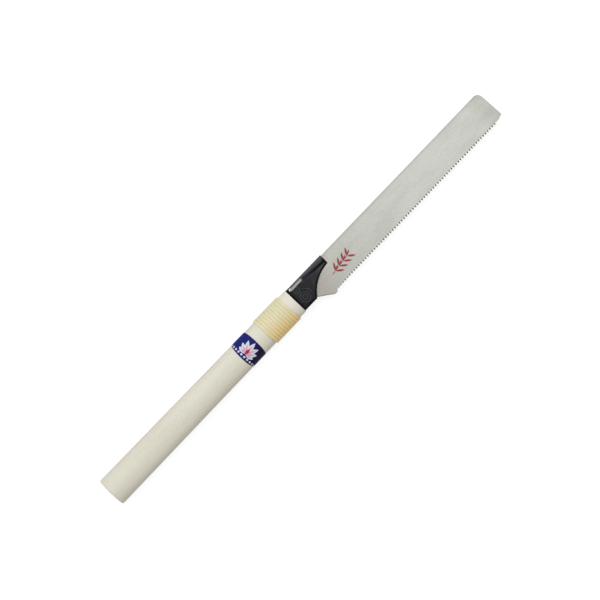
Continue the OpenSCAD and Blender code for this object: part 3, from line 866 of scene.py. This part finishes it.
def label_sheet():
    """The paper label: a grid laid round the handle, drawn in at its long edges and thickened."""
    size = settings().label
    middle = -size.front - size.length / 2
    quarter = math.radians(90)
    bm = bmesh.new()
    print_at = bm.verts.layers.float_vector.new("print_at")
    bmesh.ops.create_grid(bm, x_segments=LABEL_STEPS[0], y_segments=LABEL_STEPS[1], size=1)
    for vert in bm.verts:
        along, turn = vert.co.x, vert.co.y * size.wrap
        reach = along * (size.length / 2 - size.bow * (turn / quarter) ** 2)
        girth = sum(handle_oval(middle + reach)) / 2
        vert[print_at] = (reach / MM, -turn * girth / MM, along)
        vert.co = on_handle(middle + reach, quarter + turn, size.lift + size.thickness)
    face_outwards(bm)
    if bm.faces[0].normal.dot(bm.faces[0].calc_center_median() - Vector((middle, 0, 0))) < 0:
        bmesh.ops.reverse_faces(bm, faces=bm.faces[:])
    bmesh.ops.solidify(bm, geom=bm.faces[:], thickness=size.thickness)
    return bm


def label_finish():
    """Printed paper: a blue ground with a fan of pale leaves, a red bud and a dotted border."""
    tone = settings().label
    paper = Finish("printed_paper")
    along, across, _ = paper.split(paper.attribute("print_at"))
    flat = paper.flat(along, across)
    speck = paper.noise(paper.stretched(flat, (0.5, 0.5, 1)), detail=2)
    rough = paper.noise(paper.stretched(flat, (0.35, 0.35, 1)), detail=3)
    last = len(FAN_REACH) - 1
    fan = [(FAN_STEP * place, FAN_REACH[abs(place)]) for place in range(-last, last + 1)]
    leaves = [paper.leaf(flat, FAN_ROOT, turn, (reach, LEAF_WIDTH)) for turn, reach in fan]
    hearts = [paper.leaf(flat, FAN_ROOT, turn, (HEART_SHARE * reach, HEART_WIDTH)) for turn, reach in fan]
    bud = paper.leaf(flat, BUD_ROOT, 0, BUD_SIZE)
    beside = paper.math("SUBTRACT", DOT_STEP / 2, paper.math("PINGPONG", across, DOT_STEP / 2))
    from_dot = paper.flat(paper.math("SUBTRACT", along, DOT_ROW), beside)
    dots = paper.ease(paper.measure("LENGTH", from_dot), DOT_RADIUS, DOT_RADIUS - 0.15)
    inked = paper.mix(paper.ease(across, -14, 6), tone.navy, tone.blue)
    inked = paper.mix(paper.highest(dots, *leaves), inked, tone.white)
    inked = paper.mix(paper.highest(*hearts), inked, tone.pink)
    inked = paper.mix(bud, inked, tone.red)
    inked = paper.mix(paper.ease(speck, 0.6, 0.8, 0, 0.12), inked, tone.white)
    paper.surface(Base_Color=inked, Roughness=paper.ease(speck, 0.3, 0.7, 0.5, 0.62),
                  Specular_IOR_Level=0.12)
    paper.bump(rough, 0.012)
    return paper.material


class SAW_OT_add_label(bpy.types.Operator):
    """Adds the paper label round the handle"""

    bl_idname = "bamboo_saw.add_label"
    bl_label = "Paper label"

    def execute(self, context):
        finished_piece("paper_label", label_sheet(), label_finish(), "handle",
                       ["handle_label"])
        return {"FINISHED"}


# Holder


def cheek_half(x):
    """Half the thickness of the holder's cheeks at a distance from the handle."""
    size = settings().holder
    return (size.rear_thickness + (size.front_thickness - size.rear_thickness) * x / HOLDER_HIGH.x) / 2


def cheek_slope():
    """Angle by which each cheek slopes towards the front."""
    return math.atan2(cheek_half(0) - cheek_half(HOLDER_HIGH.x), HOLDER_HIGH.x)


def cheek_block():
    """The holder in plan with its hollow front, tapered, with a sloping rim; its other sides are oversize."""
    size = settings().holder
    half, reach = HOLDER_HIGH.y, HOLDER_HIGH.x - size.shy
    centre = Vector((size.hollow_x, -size.hollow_drop))
    low_turn = math.pi - math.asin((-half - OVER - centre.y) / size.hollow)
    high_turn = math.acos((reach - centre.x) / size.hollow)
    pen = Pen(-OVER, -half - OVER)
    pen.line((centre.x + size.hollow * math.cos(low_turn), -half - OVER))
    pen.arc(centre, high_turn - low_turn, ARC_STEPS)
    pen.line((reach, half + OVER), (-OVER, half + OVER))
    bm = pen.solid(-0.5, 0.5)
    ends = [e for e in bm.edges if all(abs(v.co.x - reach) < TINY and v.co.y < half for v in e.verts)]
    bevel(bm, ends, size.arm_round, segments=5)
    for vert in bm.verts:
        vert.co.z *= 2 * cheek_half(vert.co.x)
    bm.normal_update()
    slope_rim(bm, size.rim_width, size.rim_depth, lambda place: True)
    bmesh.ops.bisect_plane(bm, geom=all_of(bm), plane_co=(size.rear_slope, 0, 0), plane_no=(1, 0, 0))
    for vert in bm.verts:
        behind = max(0, 1 - vert.co.x / size.rear_slope)
        vert.co.z -= math.copysign(size.rear_drop * behind, vert.co.z)
    return bm


def rounded_bar():
    """The bar that the cheeks are cut from: rounded long edges, fuller at the back."""
    size = settings().holder
    long = HOLDER_HIGH.x + OVER
    bm = bmesh.new()
    bmesh.ops.create_cube(bm, size=1)
    stretch(bm, (long, 2 * HOLDER_HIGH.y, size.rear_thickness + 2 * TINY))
    move(bm, (long / 2, 0, 0))
    edges = [e for e in bm.edges if abs(e.verts[0].co.x - e.verts[1].co.x) > HOLDER_HIGH.x / 2]
    bevel(bm, [e for e in edges if e.verts[0].co.y > 0], size.back_round, segments=12)
    bevel(bm, [e for e in edges if e.is_valid and e.verts[0].co.y < 0], size.edge_round, segments=8)
    return bm


def back_rib():
    """The round rib along the holder's back, with a rounded front end."""
    size = settings().holder
    start, end = size.rib_start, HOLDER_HIGH.x
    bm = round_bar(size.rib / 2, -(end - start) / 2, (end - start) / 2)
    rotate(bm, "Y", math.radians(90))
    move(bm, ((end + start) / 2, HOLDER_HIGH.y - size.rib / 2 - size.shy, 0))
    front = [e for e in bm.edges if min(v.co.x for v in e.verts) > (end + start) / 2]
    bevel(bm, front, size.rib_round, segments=5)
    return bm


def blade_slot():
    """The space for the blade: closed behind and along the back, with a leaning wall that stops the blade."""
    size = settings().holder
    tail = BLADE_HIGH.y - HOOK.y
    stop = heel_turn() - settings().blade.release
    outward = Vector((math.cos(stop), math.sin(stop)))
    wall = HOOK.xy + (tail + size.slot_fit) * outward
    along = Vector((-outward.y, outward.x))
    rear, front = HOOK.x - tail - size.slot_fit, HOLDER_HIGH.x + OVER
    low, top = -HOLDER_HIGH.y - OVER, BLADE_HIGH.y + size.slot_fit
    pen = Pen(rear, top)
    pen.line((front, top), (front, low), (wall.x + along.x * (low - wall.y) / along.y, low),
             (rear, wall.y + along.y * (rear - wall.x) / along.x))
    return pen.solid(-size.slot / 2, size.slot / 2)


def window_tool():
    """The cutter of the window: a slot with round ends through both cheeks."""
    size = settings().holder
    radius = size.window_width / 2
    y = HOLDER_HIGH.y - size.window_edge - radius
    first, last = size.window_x + radius, size.window_x + size.window_length - radius
    pen = Pen(first, y - radius)
    pen.line((last, y - radius))
    pen.arc((last, y), math.pi, WINDOW_STEPS)
    pen.line((first, y + radius))
    pen.arc((first, y), math.pi * (WINDOW_STEPS - 1) / WINDOW_STEPS, WINDOW_STEPS - 1)
    return pen.solid(-HOLDER_HIGH.z - OVER, HOLDER_HIGH.z + OVER)


def spring_pocket():
    """The pocket for the keeper spring in the upper cheek."""
    size = settings().holder
    bm = bmesh.new()
    bmesh.ops.create_cube(bm, size=1)
    stretch(bm, (size.pocket_length, size.pocket_width, size.pocket_top))
    move(bm, (size.pocket_ahead, 0, size.pocket_top / 2))
    rotate(bm, "Z", size.pocket_turn)
    move(bm, (RIVET.x, RIVET.y, 0))
    return bm


def raised_ring(side, centre, radius, first=0, sweep=FULL_TURN):
    """A raised ring, or part of one, on the sloping face of a cheek."""
    size = settings().holder
    full = sweep == FULL_TURN
    bm = bmesh.new()
    bmesh.ops.create_circle(bm, segments=RING_SIDES, radius=1, cap_ends=not full)
    rotate(bm, "X", math.radians(90))
    stretch(bm, (size.ring_width / 2, 1, size.ring_height))
    move(bm, (radius, 0, 0))
    rotate(bm, "Z", first)
    bmesh.ops.spin(bm, geom=all_of(bm), axis=(0, 0, 1), angle=sweep,
                   steps=max(FEWEST_STEPS, round(ROUND_STEPS * sweep / FULL_TURN)), use_merge=full)
    bmesh.ops.remove_doubles(bm, verts=bm.verts[:], dist=MERGED)
    rotate(bm, "Y", cheek_slope())
    move(bm, (centre.x, centre.y, cheek_half(centre.x)))
    stretch(bm, (1, 1, side))
    face_outwards(bm)
    return bm


def ring_places():
    """The cast ornament: two rings and an arc about the rivet, and a ring about the hook's pin."""
    size = settings().holder
    return ((RIVET, size.inner_ring), (RIVET, size.outer_ring),
            (RIVET, size.arc, size.arc_start, size.arc_sweep), (HOOK, size.pin_ring))


def cast_holder():
    """The holder: tapered cheeks, rib, window, slot, bores, raised rings and the tang."""
    size = settings().holder
    deep = HOLDER_HIGH.z + OVER
    rings = [raised_ring(side, *place) for side in (1, -1) for place in ring_places()]
    bm = combined(cheek_block(), "INTERSECT", rounded_bar())
    bm = combined(bm, "UNION", back_rib(), *rings)
    bm = combined(bm, "DIFFERENCE", window_tool(), blade_slot(),
                  round_bar(HOOK_RADIUS - size.press, -deep, deep, HOOK), spring_pocket(),
                  round_bar(RIVET_RADIUS * size.shank_share - size.press, 0, deep, RIVET))
    bm = combined(bm, "UNION", tang_solid(0, size.tang_join))
    return combined(bm, "DIFFERENCE", round_bar(TANG_PIN_RADIUS - size.press, -deep, deep, TANG_PIN))


def black_paint():
    """Satin black paint on a casting: orange peel and a cloudy tone, painted highlights on the rib, the back
    edge and the raised rings, lighter towards the arm's front, and painted shade in the corners and along the
    edges.
    """
    size = settings().holder
    paint = Finish("satin_black_paint")
    place = paint.place()
    x, y, z = paint.split(place)
    peel = paint.noise(place, size=0.45, detail=3)
    cloud = paint.noise(place, size=7, detail=3)
    cheek = paint.node("MapRange", {"Value": x, "From Max": HOLDER_HIGH.x / MM, "To Min": cheek_half(0) / MM,
                                    "To Max": cheek_half(HOLDER_HIGH.x) / MM}).outputs["Result"]
    proud = paint.math("SUBTRACT", paint.math("ABSOLUTE", z), cheek)
    rib_radius = size.rib / 2 / MM
    below_rib = paint.math("SUBTRACT", HOLDER_HIGH.y / MM - rib_radius, y)
    rise = paint.highest(0, paint.math("SUBTRACT", rib_radius ** 2, paint.product(cheek, cheek)))
    valley = paint.math("ABSOLUTE", paint.math("SUBTRACT", below_rib, paint.math("SQRT", rise)))
    centre = (size.hollow_x / MM, -size.hollow_drop / MM, 0)
    rim = paint.math("SUBTRACT", paint.measure("DISTANCE", paint.flat(x, y), centre), size.hollow / MM)
    # Painted shade: darker paint in the valley beside the rib, on the sloping rim of the hollow, along the
    # lower edge and at the rear by the handle; also darker at the arm's front end
    shade_in_valley = paint.product(paint.ease(valley, 1.7, 0.3), paint.ease(x, 20, 40, 0.3, 1))
    shade_on_rim = paint.ease(rim, 2.5, 1.4)
    shade_on_lower_edge = paint.ease(y, -11, -12.8, 0, 0.85)
    shade_at_rear = paint.ease(x, 2.7, 1.9, 0, 0.75)
    darker_arm_end = paint.product(paint.ease(x, 49, 50.4, 0, 0.9), paint.ease(y, 11.4, 10))
    # Painted highlights: lighter paint on the rib's top, along the rounded back edge and on the raised rings,
    # and lighter paint towards the arm's front
    highlight_on_rib = paint.product(paint.ease(x, 18, 27), paint.ease(y, 10.6, 13))
    highlight_on_back_edge = paint.product(paint.ease(x, 2.5, 4), paint.ease(y, 12.6, 13))
    highlight_on_rings = paint.product(paint.ease(proud, 0.1, 0.4, 0, 0.7), paint.ease(x, 26, 22))
    lighter_arm_front = paint.product(paint.ease(x, 34, 44, 0, 0.55), paint.ease(valley, 1.2, 2.2))
    shade = paint.total(paint.ease(cloud, 0.3, 0.7, 0, 0.6), paint.ease(x, 24, 14, 0, 0.3))
    base = paint.mix(shade, size.black, [0.45 * part for part in size.black])
    rubbed = paint.highest(highlight_on_rib, highlight_on_back_edge, highlight_on_rings, lighter_arm_front)
    shade_mask = paint.highest(shade_in_valley, shade_on_rim, shade_on_lower_edge, shade_at_rear, darker_arm_end)
    base = paint.mix(rubbed, base, size.rubbed)
    base = paint.mix(shade_mask, base, size.soot)
    gloss = paint.total(paint.ease(peel, 0.2, 0.8, 0.4, 0.5), paint.ease(cloud, 0.3, 0.7, -0.04, 0.04))
    paint.surface(Base_Color=base, Roughness=gloss, Specular_IOR_Level=0.05)
    paint.bump(peel, 0.025)
    return paint.material


class SAW_OT_add_holder(bpy.types.Operator):
    """Adds the cast holder with its tang"""

    bl_idname = "bamboo_saw.add_holder"
    bl_label = "Holder"

    def execute(self, context):
        finished_piece("cast_holder", cast_holder(), black_paint(), "handle",
                       ["blade_holder"], crease=20)
        return {"FINISHED"}


# Blade


def blade_span():
    """Height of the tooth points, the end of the row of teeth, their number and their step."""
    size = settings().blade
    last = BLADE_HIGH.x - size.nose_length - size.nose_flat
    count = round((last - size.teeth_x) / size.pitch)
    return BLADE_HIGH.y - size.width, last, count, (last - size.teeth_x) / count


def gullet_depth(x):
    """Depth of the gullets at a place along the blade, which is less where a cut starts."""
    size = settings().blade
    part = size.starter_share + (1 - size.starter_share) * (x - size.teeth_x) / size.starter
    return size.depth * min(1, part)


def blade_outline():
    """Draws the blade in plan from its tip round to its hook, with a vertex at each gullet."""
    size = settings().blade
    points, last, count, step = blade_span()
    back, reach = BLADE_HIGH.y, BLADE_HIGH.x
    low_tip = Vector((reach, points + size.nose_height))
    round_y = back - size.tip_round
    lean_x = reach - (round_y - low_tip.y) * math.tan(size.tip_lean)
    tip = Vector((lean_x - size.tip_round / math.cos(size.tip_lean), round_y))
    hook_r = HOOK_RADIUS + size.hook_fit
    tail = back - HOOK.y
    mouth = size.release - math.pi
    half_mouth = math.asin(hook_r / tail)
    quarter = math.pi / 2
    pen = Pen(tip.x, back)
    pen.arc(tip, size.tip_lean - quarter, ARC_STEPS)
    pen.line(low_tip, (reach - size.nose_length, points + size.depth), (last, points + size.depth))
    pen.row(-step, count)
    for vert in pen.bm.verts:
        if vert.co.x < last - step / 2:
            vert.co.y = points + gullet_depth(vert.co.x)
    pen.line((size.heel_x + size.heel_flat, BLADE_LOW.y), (size.heel_x, BLADE_LOW.y),
             (size.heel_top_x, -size.heel_top_drop), polar(HOOK, tail, heel_turn()))
    pen.arc(HOOK, mouth + half_mouth - heel_turn(), 2)
    pen.line(polar(HOOK, hook_r, mouth + quarter))
    pen.arc(HOOK, math.pi, HOOK_STEPS)
    pen.line(polar(HOOK, tail, mouth - half_mouth))
    pen.arc(HOOK, half_mouth - mouth - 3 * quarter, HOOK_STEPS)
    return pen


def is_ground(place):
    """Tells whether a place on the blade's outline is on its back, tip, end or heel, not on the teeth."""
    size = settings().blade
    heel = place.x < size.teeth_x - TINY and place.y < TINY - size.heel_top_drop
    return heel or place.x > blade_span()[1] + TINY or place.y > BLADE_HIGH.y - TINY


def draw_teeth(bm):
    """Pokes each step of the toothed edge and draws it out to a point, set left and right in turn."""
    size = settings().blade
    points, last, _, step = blade_span()
    crests = [face for face in bm.faces
              if abs(face.normal.z) < 0.1 and face.normal.y < -0.5
              and all(size.teeth_x - TINY < vert.co.x < last + TINY for vert in face.verts)]
    for tip in bmesh.ops.poke(bm, faces=crests)["verts"]:
        tooth = math.floor((tip.co.x - size.teeth_x) / step)
        side = -1 if tooth % 2 else 1
        beside = side * (size.thickness / 2 + size.set_out)
        tip.co = (size.teeth_x + (tooth + size.lean) * step, points, beside)


def toothed_blade():
    """The blade: a hooked plate with ground edges and a row of pointed, set teeth."""
    size = settings().blade
    bm = blade_outline().solid(-size.thickness / 2, size.thickness / 2)
    slope_rim(bm, size.ground_width, size.ground_depth, is_ground)
    bm.normal_update()
    draw_teeth(bm)
    face_outwards(bm)
    return bm


def sprig_mask(steel, place):
    """Mask of the printed sprig: a jointed stem with three leaves at a joint, on the upper face only."""
    lean = math.radians(SPRIG_LEAN)
    along = Vector((math.cos(lean), math.sin(lean)))
    joints = [0, *(SPRIG_STALK + SPRIG_JOINT * number for number in range(SPRIG_JOINTS))]
    marks = [steel.bar(place, SPRIG_ROOT + along * (start + STEM_GAP / 2), SPRIG_LEAN,
                       (end - start - STEM_GAP, STEM_WIDTH)) for start, end in zip(joints, joints[1:])]
    for joint in joints[1:]:
        marks += [steel.leaf(place, SPRIG_ROOT + along * joint, SPRIG_LEAN + turn, size, soft=0.2)
                  for turn, size in SPRIG_LEAVES]
    return steel.product(steel.highest(*marks), steel.ease(steel.normal()[2], 0.4, 0.6))


def tooth_tones(steel, x, y, up):
    """Masks of the teeth that get a painted highlight and a painted dark reflection in turn, fainter where a
    cut starts.
    """
    size = settings().blade
    points, last, _, step = blade_span()
    first, end = size.teeth_x / MM, last / MM
    gullets = (points + size.depth) / MM
    turn = steel.product(steel.math("SUBTRACT", x, first), math.pi * MM / step)
    swing = steel.product(steel.math("SINE", turn), steel.math("SIGN", up))
    row = steel.product(steel.ease(x, first - 0.4, first), steel.ease(x, end + 1, end),
                        steel.ease(x, first, first + size.starter / MM, 0.12, 1))
    plate = steel.ease(y, gullets - 0.3, gullets + 1)
    bright = steel.ease(steel.math("SUBTRACT", swing, plate), -0.02, 0.1, 0, 0.13)
    dark = steel.ease(steel.total(swing, plate), 0.02, -0.1)
    return steel.product(bright, row), steel.product(dark, row)


def darker_heel_strip(steel, place):
    """Mask of a darker strip along the blade's straight heel."""
    size = settings().blade
    top = Vector((size.heel_top_x, -size.heel_top_drop, 0)) / MM
    run = Vector((size.heel_x, BLADE_LOW.y, 0)) / MM - top
    inward = Vector((-run.y, run.x, 0)).normalized()
    above = steel.math("SUBTRACT", steel.measure("DOT_PRODUCT", place, inward), top.dot(inward))
    return steel.ease(above, 1.3, 0.3, 0, 0.5)


def blade_finish():
    """Satin ground steel: grinding lines, a matt grain, darker warmer steel towards the heel and the end,
    painted dark reflections on sloped faces, a darker strip along the heel, painted highlights and painted
    dark reflections on the teeth in turn, and a sprig.
    """
    tone = settings().blade
    steel = Finish("satin_ground_steel")
    place = steel.place()
    x, y, _ = steel.split(place)
    up = steel.normal("True Normal")[2]
    lines = steel.noise(steel.stretched(place, (50, 0.14, 1)), detail=4, roughness=0.6)
    cloud = steel.noise(steel.stretched(place, (45, 14, 9)), detail=2)
    spots = steel.noise(place, size=0.8, detail=2)
    matt = steel.noise(place, size=1.5, detail=1)
    # Darker, warmer steel towards the heel, the end and the back edge, lighter where the holder covers it,
    # with a cloudy tone
    covered = steel.product(steel.ease(x, 28, 22), steel.ease(y, 4, 8))
    warm = steel.total(steel.ease(x, 62, 26, 0, 0.6), steel.ease(x, 190, 60, 0, 0.36),
                       steel.ease(x, 262, 284, 0, 0.4), steel.ease(y, 10.4, 11.6, 0, 0.3),
                       steel.product(covered, -0.5), steel.ease(cloud, 0.35, 0.7, -0.06, 0.08))
    # Painted dark reflection on every sloped face: the ground edges, the tip's slopes and the teeth's flanks
    edges = steel.ease(steel.math("ABSOLUTE", up), 0.99, 0.96, 0, 0.7)
    # Painted highlights and painted dark reflections on the teeth in turn
    bright, dark = tooth_tones(steel, x, y, up)
    base = steel.mix(warm, tone.steel, tone.warm)
    base = steel.mix(steel.ease(lines, 0.42, 0.72, 0, 0.3), base, tone.warm)
    base = steel.mix(steel.ease(matt, 0.3, 0.7, 0, 0.1), base, tone.dark)
    base = steel.mix(bright, base, tone.bright)
    base = steel.mix(steel.highest(edges, darker_heel_strip(steel, place), dark), base, tone.dark)
    ink = steel.product(sprig_mask(steel, place), steel.ease(spots, 0.22, 0.34, 0.55, 1))
    base = steel.mix(ink, base, tone.red)
    rough = steel.total(steel.ease(lines, 0.3, 0.7, 0.33, 0.43), steel.ease(cloud, 0.3, 0.7, -0.02, 0.02))
    steel.surface(Base_Color=base, Metallic=steel.math("SUBTRACT", 1, ink), Roughness=rough)
    steel.bump(lines, 0.006)
    return steel.material


class SAW_OT_add_blade(bpy.types.Operator):
    """Adds the toothed blade"""

    bl_idname = "bamboo_saw.add_blade"
    bl_label = "Blade"

    def execute(self, context):
        finished_piece("toothed_blade", toothed_blade(), blade_finish(), "blade",
                       ["saw_blade"], crease=0)
        return {"FINISHED"}


# Pins and spring


def drawn_steel():
    """Drawn steel, painted over where the pins' ends lie in the holder's faces."""
    tone = settings().holder
    pin = Finish("drawn_steel")
    place = pin.place()
    draw = pin.noise(pin.stretched(place, (0.2, 0.2, 3)), detail=3)
    deep = pin.math("ABSOLUTE", pin.split(place)[2])
    edge = drawn_box("hook_pin")[1].z / MM - 1
    paint = pin.ease(deep, edge, edge + 0.1)
    base = pin.mix(pin.ease(draw, 0.3, 0.7), tone.steel, [0.75 * part for part in tone.steel])
    pin.surface(Base_Color=pin.mix(paint, base, tone.black), Metallic=pin.math("SUBTRACT", 1, paint),
                Roughness=pin.ease(draw, 0.3, 0.7, 0.3, 0.44), Specular_IOR_Level=0.05)
    pin.bump(draw, 0.01)
    return pin.material


def rolled_steel():
    """Bright rolled spring steel with lines along the leaf."""
    tone = settings().holder
    spring = Finish("rolled_spring_steel")
    lines = spring.noise(spring.place(stretch=(6, 0.2, 0.2)), detail=3)
    base = spring.mix(spring.ease(lines, 0.3, 0.7), tone.steel, [0.8 * part for part in tone.steel])
    spring.surface(Base_Color=base, Metallic=1.0, Roughness=spring.ease(lines, 0.3, 0.7, 0.24, 0.36))
    spring.bump(lines, 0.006)
    return spring.material


class SAW_OT_add_pins(bpy.types.Operator):
    """Gives the pins, the rivet and the keeper spring their steel finishes"""

    bl_idname = "bamboo_saw.add_pins"
    bl_label = "Pins and spring"

    def execute(self, context):
        for finish, nodes in ((drawn_steel(), ("tang_pin", "hook_pin", "spring_rivet")),
                              (rolled_steel(), ("keeper_spring",))):
            for node in nodes:
                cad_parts[node].data.materials.clear()
                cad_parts[node].data.materials.append(finish)
        return {"FINISHED"}


# Stage


def seen_rays(tree):
    """1 for the rays that show a background: from the camera, off gloss and through glass."""
    path = tree.nodes.new("ShaderNodeLightPath")
    joined = path.outputs["Is Camera Ray"]
    for name in ("Is Glossy Ray", "Is Transmission Ray"):
        either = tree.nodes.new("ShaderNodeMath")
        either.operation = "MAXIMUM"
        tree.links.new(joined, either.inputs[0])
        tree.links.new(path.outputs[name], either.inputs[1])
        joined = either.outputs["Value"]
    return joined


def white_room():
    """A world that shows white and lights the saw evenly from all round, at its own strength."""
    world = bpy.data.worlds.new("white_room")
    world.use_nodes = True
    tree = world.node_tree
    strength = tree.nodes.new("ShaderNodeMapRange")
    strength.inputs["To Min"].default_value = settings().stage.sky
    strength.inputs["To Max"].default_value = 1
    tree.links.new(seen_rays(tree), strength.inputs["Value"])
    background = tree.nodes["Background"]
    background.inputs["Color"].default_value = (1, 1, 1, 1)
    tree.links.new(strength.outputs["Result"], background.inputs["Strength"])
    return world


def white_floor():
    """A matt floor that shows white and keeps the saw's shadow."""
    stage = settings().stage
    finish = Finish("white_floor")
    glow = finish.product(seen_rays(finish.tree), stage.floor_glow)
    finish.surface(Base_Color=stage.floor, Roughness=0.9, Specular_IOR_Level=0.0, Emission_Color=(1, 1, 1),
                   Emission_Strength=glow)
    bm = bmesh.new()
    bmesh.ops.create_grid(bm, x_segments=1, y_segments=1, size=stage.floor_half)
    floor = loose_object("floor", bm)
    floor.data.materials.append(finish.material)


def soft_lamp(name, power, size, place, tint=(1, 1, 1)):
    """A large soft lamp that faces the saw."""
    lamp = bpy.data.lights.new(name, "AREA")
    lamp.energy = power
    lamp.size = size
    lamp.color = tint
    made = bpy.data.objects.new(name, lamp)
    made.location = place
    made.rotation_euler = (-Vector(place)).to_track_quat("-Z", "Y").to_euler()
    bpy.context.scene.collection.objects.link(made)


def overhead_camera():
    """A camera that looks straight down on the saw."""
    stage = settings().stage
    camera = bpy.data.cameras.new("camera")
    camera.lens = camera.sensor_width * stage.height / stage.view_width
    viewer = bpy.data.objects.new("camera", camera)
    viewer.location = DATUM + Vector((stage.aim_x, stage.aim_y, stage.height))
    viewer.rotation_euler = (0, 0, stage.turn)
    bpy.context.scene.collection.objects.link(viewer)
    return viewer


class SAW_OT_add_stage(bpy.types.Operator):
    """Adds the floor, the soft light and the camera"""

    bl_idname = "bamboo_saw.add_stage"
    bl_label = "Stage"

    def execute(self, context):
        stage = settings().stage
        scene = context.scene
        scene.view_settings.view_transform = "Standard"
        white_floor()
        scene.world = white_room()
        soft_lamp("key", stage.key_power, stage.key_size, stage.key_place)
        soft_lamp("fill", stage.fill_power, stage.fill_size, stage.fill_place, stage.fill_tint)
        scene.camera = overhead_camera()
        return {"FINISHED"}


STEPS = (SAW_OT_add_stage, SAW_OT_add_handle, SAW_OT_add_binding, SAW_OT_add_label, SAW_OT_add_holder,
         SAW_OT_add_pins, SAW_OT_add_blade)
GROUPS = (HandleSettings, BindingSettings, LabelSettings, HolderSettings, BladeSettings, StageSettings,
          SawSettings)


class SAW_PT_panel(bpy.types.Panel):
    """Lists the saw's pieces and their settings"""

    bl_idname = "SAW_PT_panel"
    bl_label = "Bamboo Saw"
    bl_space_type = "VIEW_3D"
    bl_region_type = "UI"
    bl_category = "Bamboo Saw"

    def draw(self, context):
        for step in STEPS:
            self.layout.operator(step.bl_idname)
        for group in SawSettings.__annotations__:
            box = self.layout.box()
            box.label(text=group.capitalize())
            part = getattr(settings(), group)
            for name in part.__annotations__:
                box.prop(part, name)


CLASSES = (*GROUPS, *STEPS, SAW_PT_panel)


def register():
    """Makes the saw's settings, steps and panel known."""
    for made in CLASSES:
        bpy.utils.register_class(made)
    bpy.types.Scene.bamboo_saw = PointerProperty(name="Bamboo saw", description="The saw's settings",
                                                 type=SawSettings)


def unregister():
    """Takes the saw's settings, steps and panel away."""
    del bpy.types.Scene.bamboo_saw
    for made in reversed(CLASSES):
        bpy.utils.unregister_class(made)


def main():
    """Builds the stage and the pieces."""
    register()
    for step in STEPS:
        getattr(bpy.ops.bamboo_saw, step.bl_idname.split(".")[1])()


if __name__ == "__main__":
    main()
